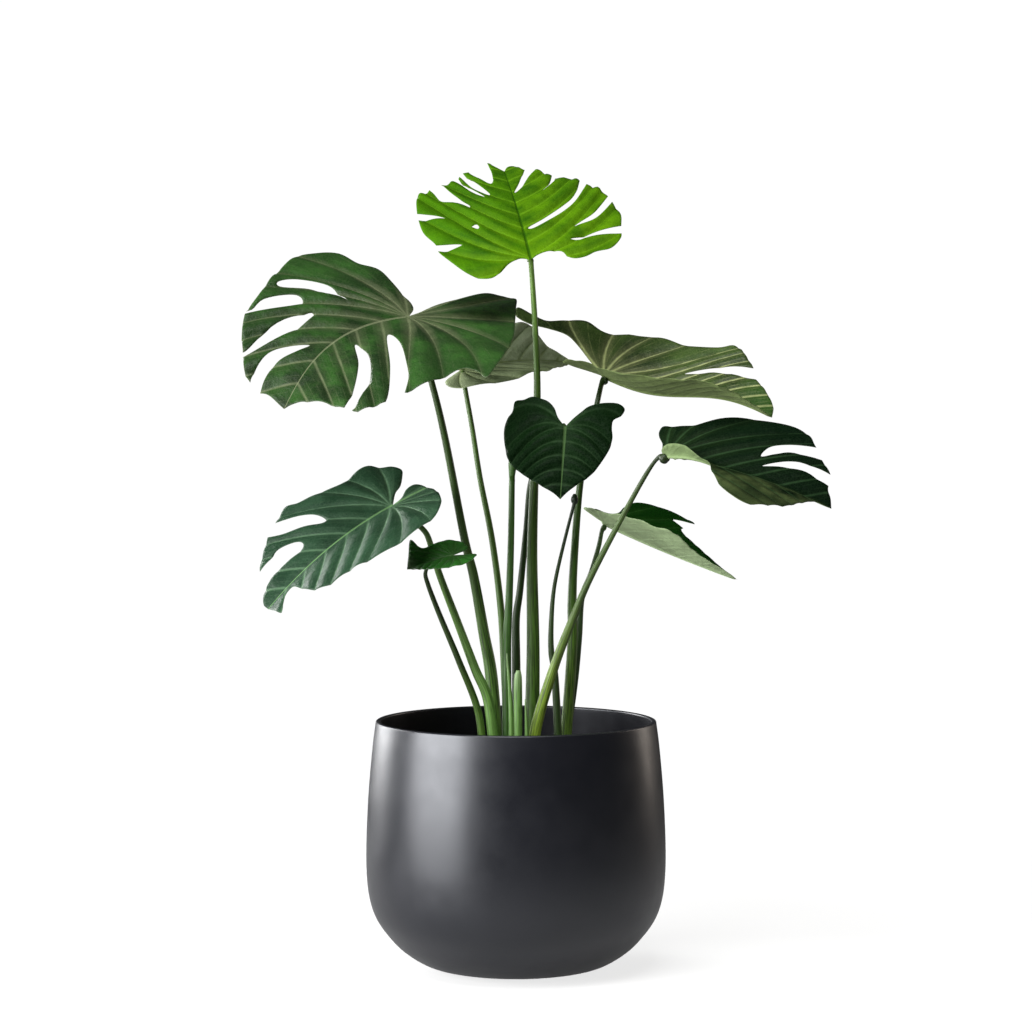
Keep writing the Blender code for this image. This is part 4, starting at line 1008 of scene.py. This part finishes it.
BUD_GREENS = ((0.045, 0.090, 0.022), (0.035, 0.070, 0.018), (0.010, 0.022, 0.010))
SHOOT_GREENS = ((0.180, 0.330, 0.090), (0.130, 0.270, 0.060), (0.230, 0.360, 0.150))
# How many times its own radius the joint is that a stalk ends in, under its leaf.
JOINTS = {"petiole_right": 2.5, "petiole_upper_right": 1.7, "petiole_small": 1.5}
PLAIN_JOINT = 1.3


def rooted(middles):
    """The middles, with one more below them in the soil."""
    x, y, _ = middles[0]
    return [(x, y, SOIL_TOP - ROOT_DEPTH)] + middles


def make_stalks():
    """The leaf stalks up to their blades, the furled leaf, the bud and the shoots."""
    for name, (middles, low, high) in STALKS.items():
        radii = list(stalk_radii(len(middles), low, high))
        route = rooted(middles)
        radii = [radii[0] * 1.06] + radii
        leaf = name.replace("petiole", "leaf")
        if leaf in LEAVES:
            bent = BentLeaf(LEAVES[leaf], LOOKS[leaf])
            near = np.array([[0.0, 0.015]])
            end = bent.place(near) - bent.normals(near) * 0.0016
            before = np.array(route[-1])
            route.append(tuple(before + 0.6 * (end[0] - before)))
            route.append(tuple(end[0]))
            radii += [high * JOINTS.get(name, PLAIN_JOINT), high * 0.9]
        skin = stalk_material(name + "_green", *STALK_LOOKS[name])
        make_stalk(name, route, radii, skin)
    tip_skin = stalk_material("furled_green", *FURLED_GREENS)
    middles, radii = FURLED_LEAF
    x, y, z = middles[0]
    make_stalk("leaf_furled", [(x, y, z - 0.006)] + middles, [radii[0]] + radii, tip_skin)
    bud_skin = stalk_material("bud_green", *BUD_GREENS)
    middles, radii = BUD_STALK
    make_stalk("bud_stalk", rooted(middles), [radii[0]] + radii, bud_skin)
    shoot_skin = stalk_material("shoot_green", *SHOOT_GREENS)
    for name, (middles, radii) in SHOOTS.items():
        make_stalk(name, rooted(middles), [radii[0]] + radii, shoot_skin, groove=0.2)


# ---------------------------------------------------------------- the studio

CAMERA_PLACE = (0.0, -3.0, 0.5805)
CAMERA_AIM = (0.0, 0.0, 0.4515)
CAMERA_LENS = 105.35
SENSOR = 36.0
FLOOR_RADIUS = 2.4
FLOOR_RINGS = 24
FLOOR_SEGMENTS = 96


def aim(thing, target):
    way = Vector(target) - thing.location
    thing.rotation_euler = way.to_track_quat("-Z", "Y").to_euler()


def area_light(name, place, target, size, power, colour=(1, 1, 1)):
    """A soft box of this width and height, facing the target."""
    data = bpy.data.lights.new(name, "AREA")
    data.shape = "RECTANGLE"
    data.size, data.size_y = size
    data.energy = power
    data.color = colour
    light = bpy.data.objects.new(name, data)
    light.location = place
    bpy.context.scene.collection.objects.link(light)
    aim(light, target)


def floor_mesh():
    """A flat disc in rings, so that its edge is round."""
    points = [(0, 0, 0)]
    for ring in range(1, FLOOR_RINGS + 1):
        radius = FLOOR_RADIUS * ring / FLOOR_RINGS
        for angle in np.linspace(0, 2 * math.pi, FLOOR_SEGMENTS, endpoint=False):
            points.append((radius * math.cos(angle), radius * math.sin(angle), 0))
    faces = [(0, 1 + k, 1 + (k + 1) % FLOOR_SEGMENTS) for k in range(FLOOR_SEGMENTS)]
    for ring in range(FLOOR_RINGS - 1):
        low = 1 + ring * FLOOR_SEGMENTS
        high = low + FLOOR_SEGMENTS
        for k in range(FLOOR_SEGMENTS):
            after = (k + 1) % FLOOR_SEGMENTS
            faces.append((low + k, high + k, high + after, low + after))
    mesh = bpy.data.meshes.new("floor")
    mesh.from_pydata(points, [], faces)
    return mesh


def make_studio():
    """The camera, a white surround that hardly lights the plant, four soft boxes and a pale floor."""
    scene = bpy.context.scene
    data = bpy.data.cameras.new("photo_camera")
    data.lens = CAMERA_LENS
    data.sensor_width = SENSOR
    data.clip_end = 50
    camera = bpy.data.objects.new("photo_camera", data)
    camera.location = CAMERA_PLACE
    scene.collection.objects.link(camera)
    aim(camera, CAMERA_AIM)
    scene.camera = camera
    scene.view_settings.view_transform = "Standard"

    world = bpy.data.worlds.new("studio_white")
    world.use_nodes = True
    nodes, links = world.node_tree.nodes, world.node_tree.links
    fill = nodes["Background"]
    fill.inputs["Color"].default_value = (0.95, 0.97, 1.0, 1)
    fill.inputs["Strength"].default_value = 0.05
    seen = nodes.new("ShaderNodeBackground")
    seen.inputs["Color"].default_value = (1, 1, 1, 1)
    seen.inputs["Strength"].default_value = 1.02
    path = nodes.new("ShaderNodeLightPath")
    blend = nodes.new("ShaderNodeMixShader")
    links.new(path.outputs["Is Camera Ray"], blend.inputs[0])
    links.new(fill.outputs[0], blend.inputs[1])
    links.new(seen.outputs[0], blend.inputs[2])
    links.new(blend.outputs[0], nodes["World Output"].inputs["Surface"])
    scene.world = world

    area_light("key_left", (-2.25, -1.15, 0.76), (0.0, 0.0, 0.35), (2.2, 1.5), 118)
    area_light("back_left", (-1.9, 1.6, 0.9), (0.0, 0.0, 0.30), (1.2, 1.7), 60)
    area_light("top_front", (-0.3, -1.3, 2.4), (0.0, 0.0, 0.50), (1.6, 1.2), 60)
    area_light("edge_right", (1.9, 1.3, 0.9), (0.0, 0.0, 0.35), (0.3, 1.6), 10, (1.0, 0.88, 0.76))

    n = Nodes("floor_pale")
    place = n.add("ShaderNodeTexCoord").outputs["Object"]
    reach = n.add("ShaderNodeVectorMath", operation="LENGTH")
    n.link(place, reach.inputs[0])
    roughness = n.ramp(n.noise(place, 3.0), 0.3, 0.7, 0.85, 0.95)
    paper = n.finish((0.80, 0.80, 0.80), roughness, Emission_Color=(1, 1, 1, 1), Emission_Strength=0.38)
    n.link(n.ramp(reach.outputs["Value"], 0.20, 1.4, 0.40, 0.0), n.shader.inputs["Alpha"])
    mesh = floor_mesh()
    mesh.materials.append(paper)
    floor = bpy.data.objects.new("floor", mesh)
    scene.collection.objects.link(floor)


make_pot()
soil_radius = make_soil()
bark = chip_material("bark_chip", (0.028, 0.016, 0.009), (0.120, 0.070, 0.035), 0.9)
make_bits("soil_bark", 150, 0.0030, 0.5, bark, soil_radius, 3)
perlite = chip_material("perlite", (0.42, 0.40, 0.36), (0.72, 0.70, 0.66), 0.85)
make_bits("soil_perlite", 90, 0.0013, 0.8, perlite, soil_radius, 5)
for blade_name, blade_leaf in LEAVES.items():
    make_blade(blade_name, blade_leaf, LOOKS[blade_name])
make_stalks()
make_studio()
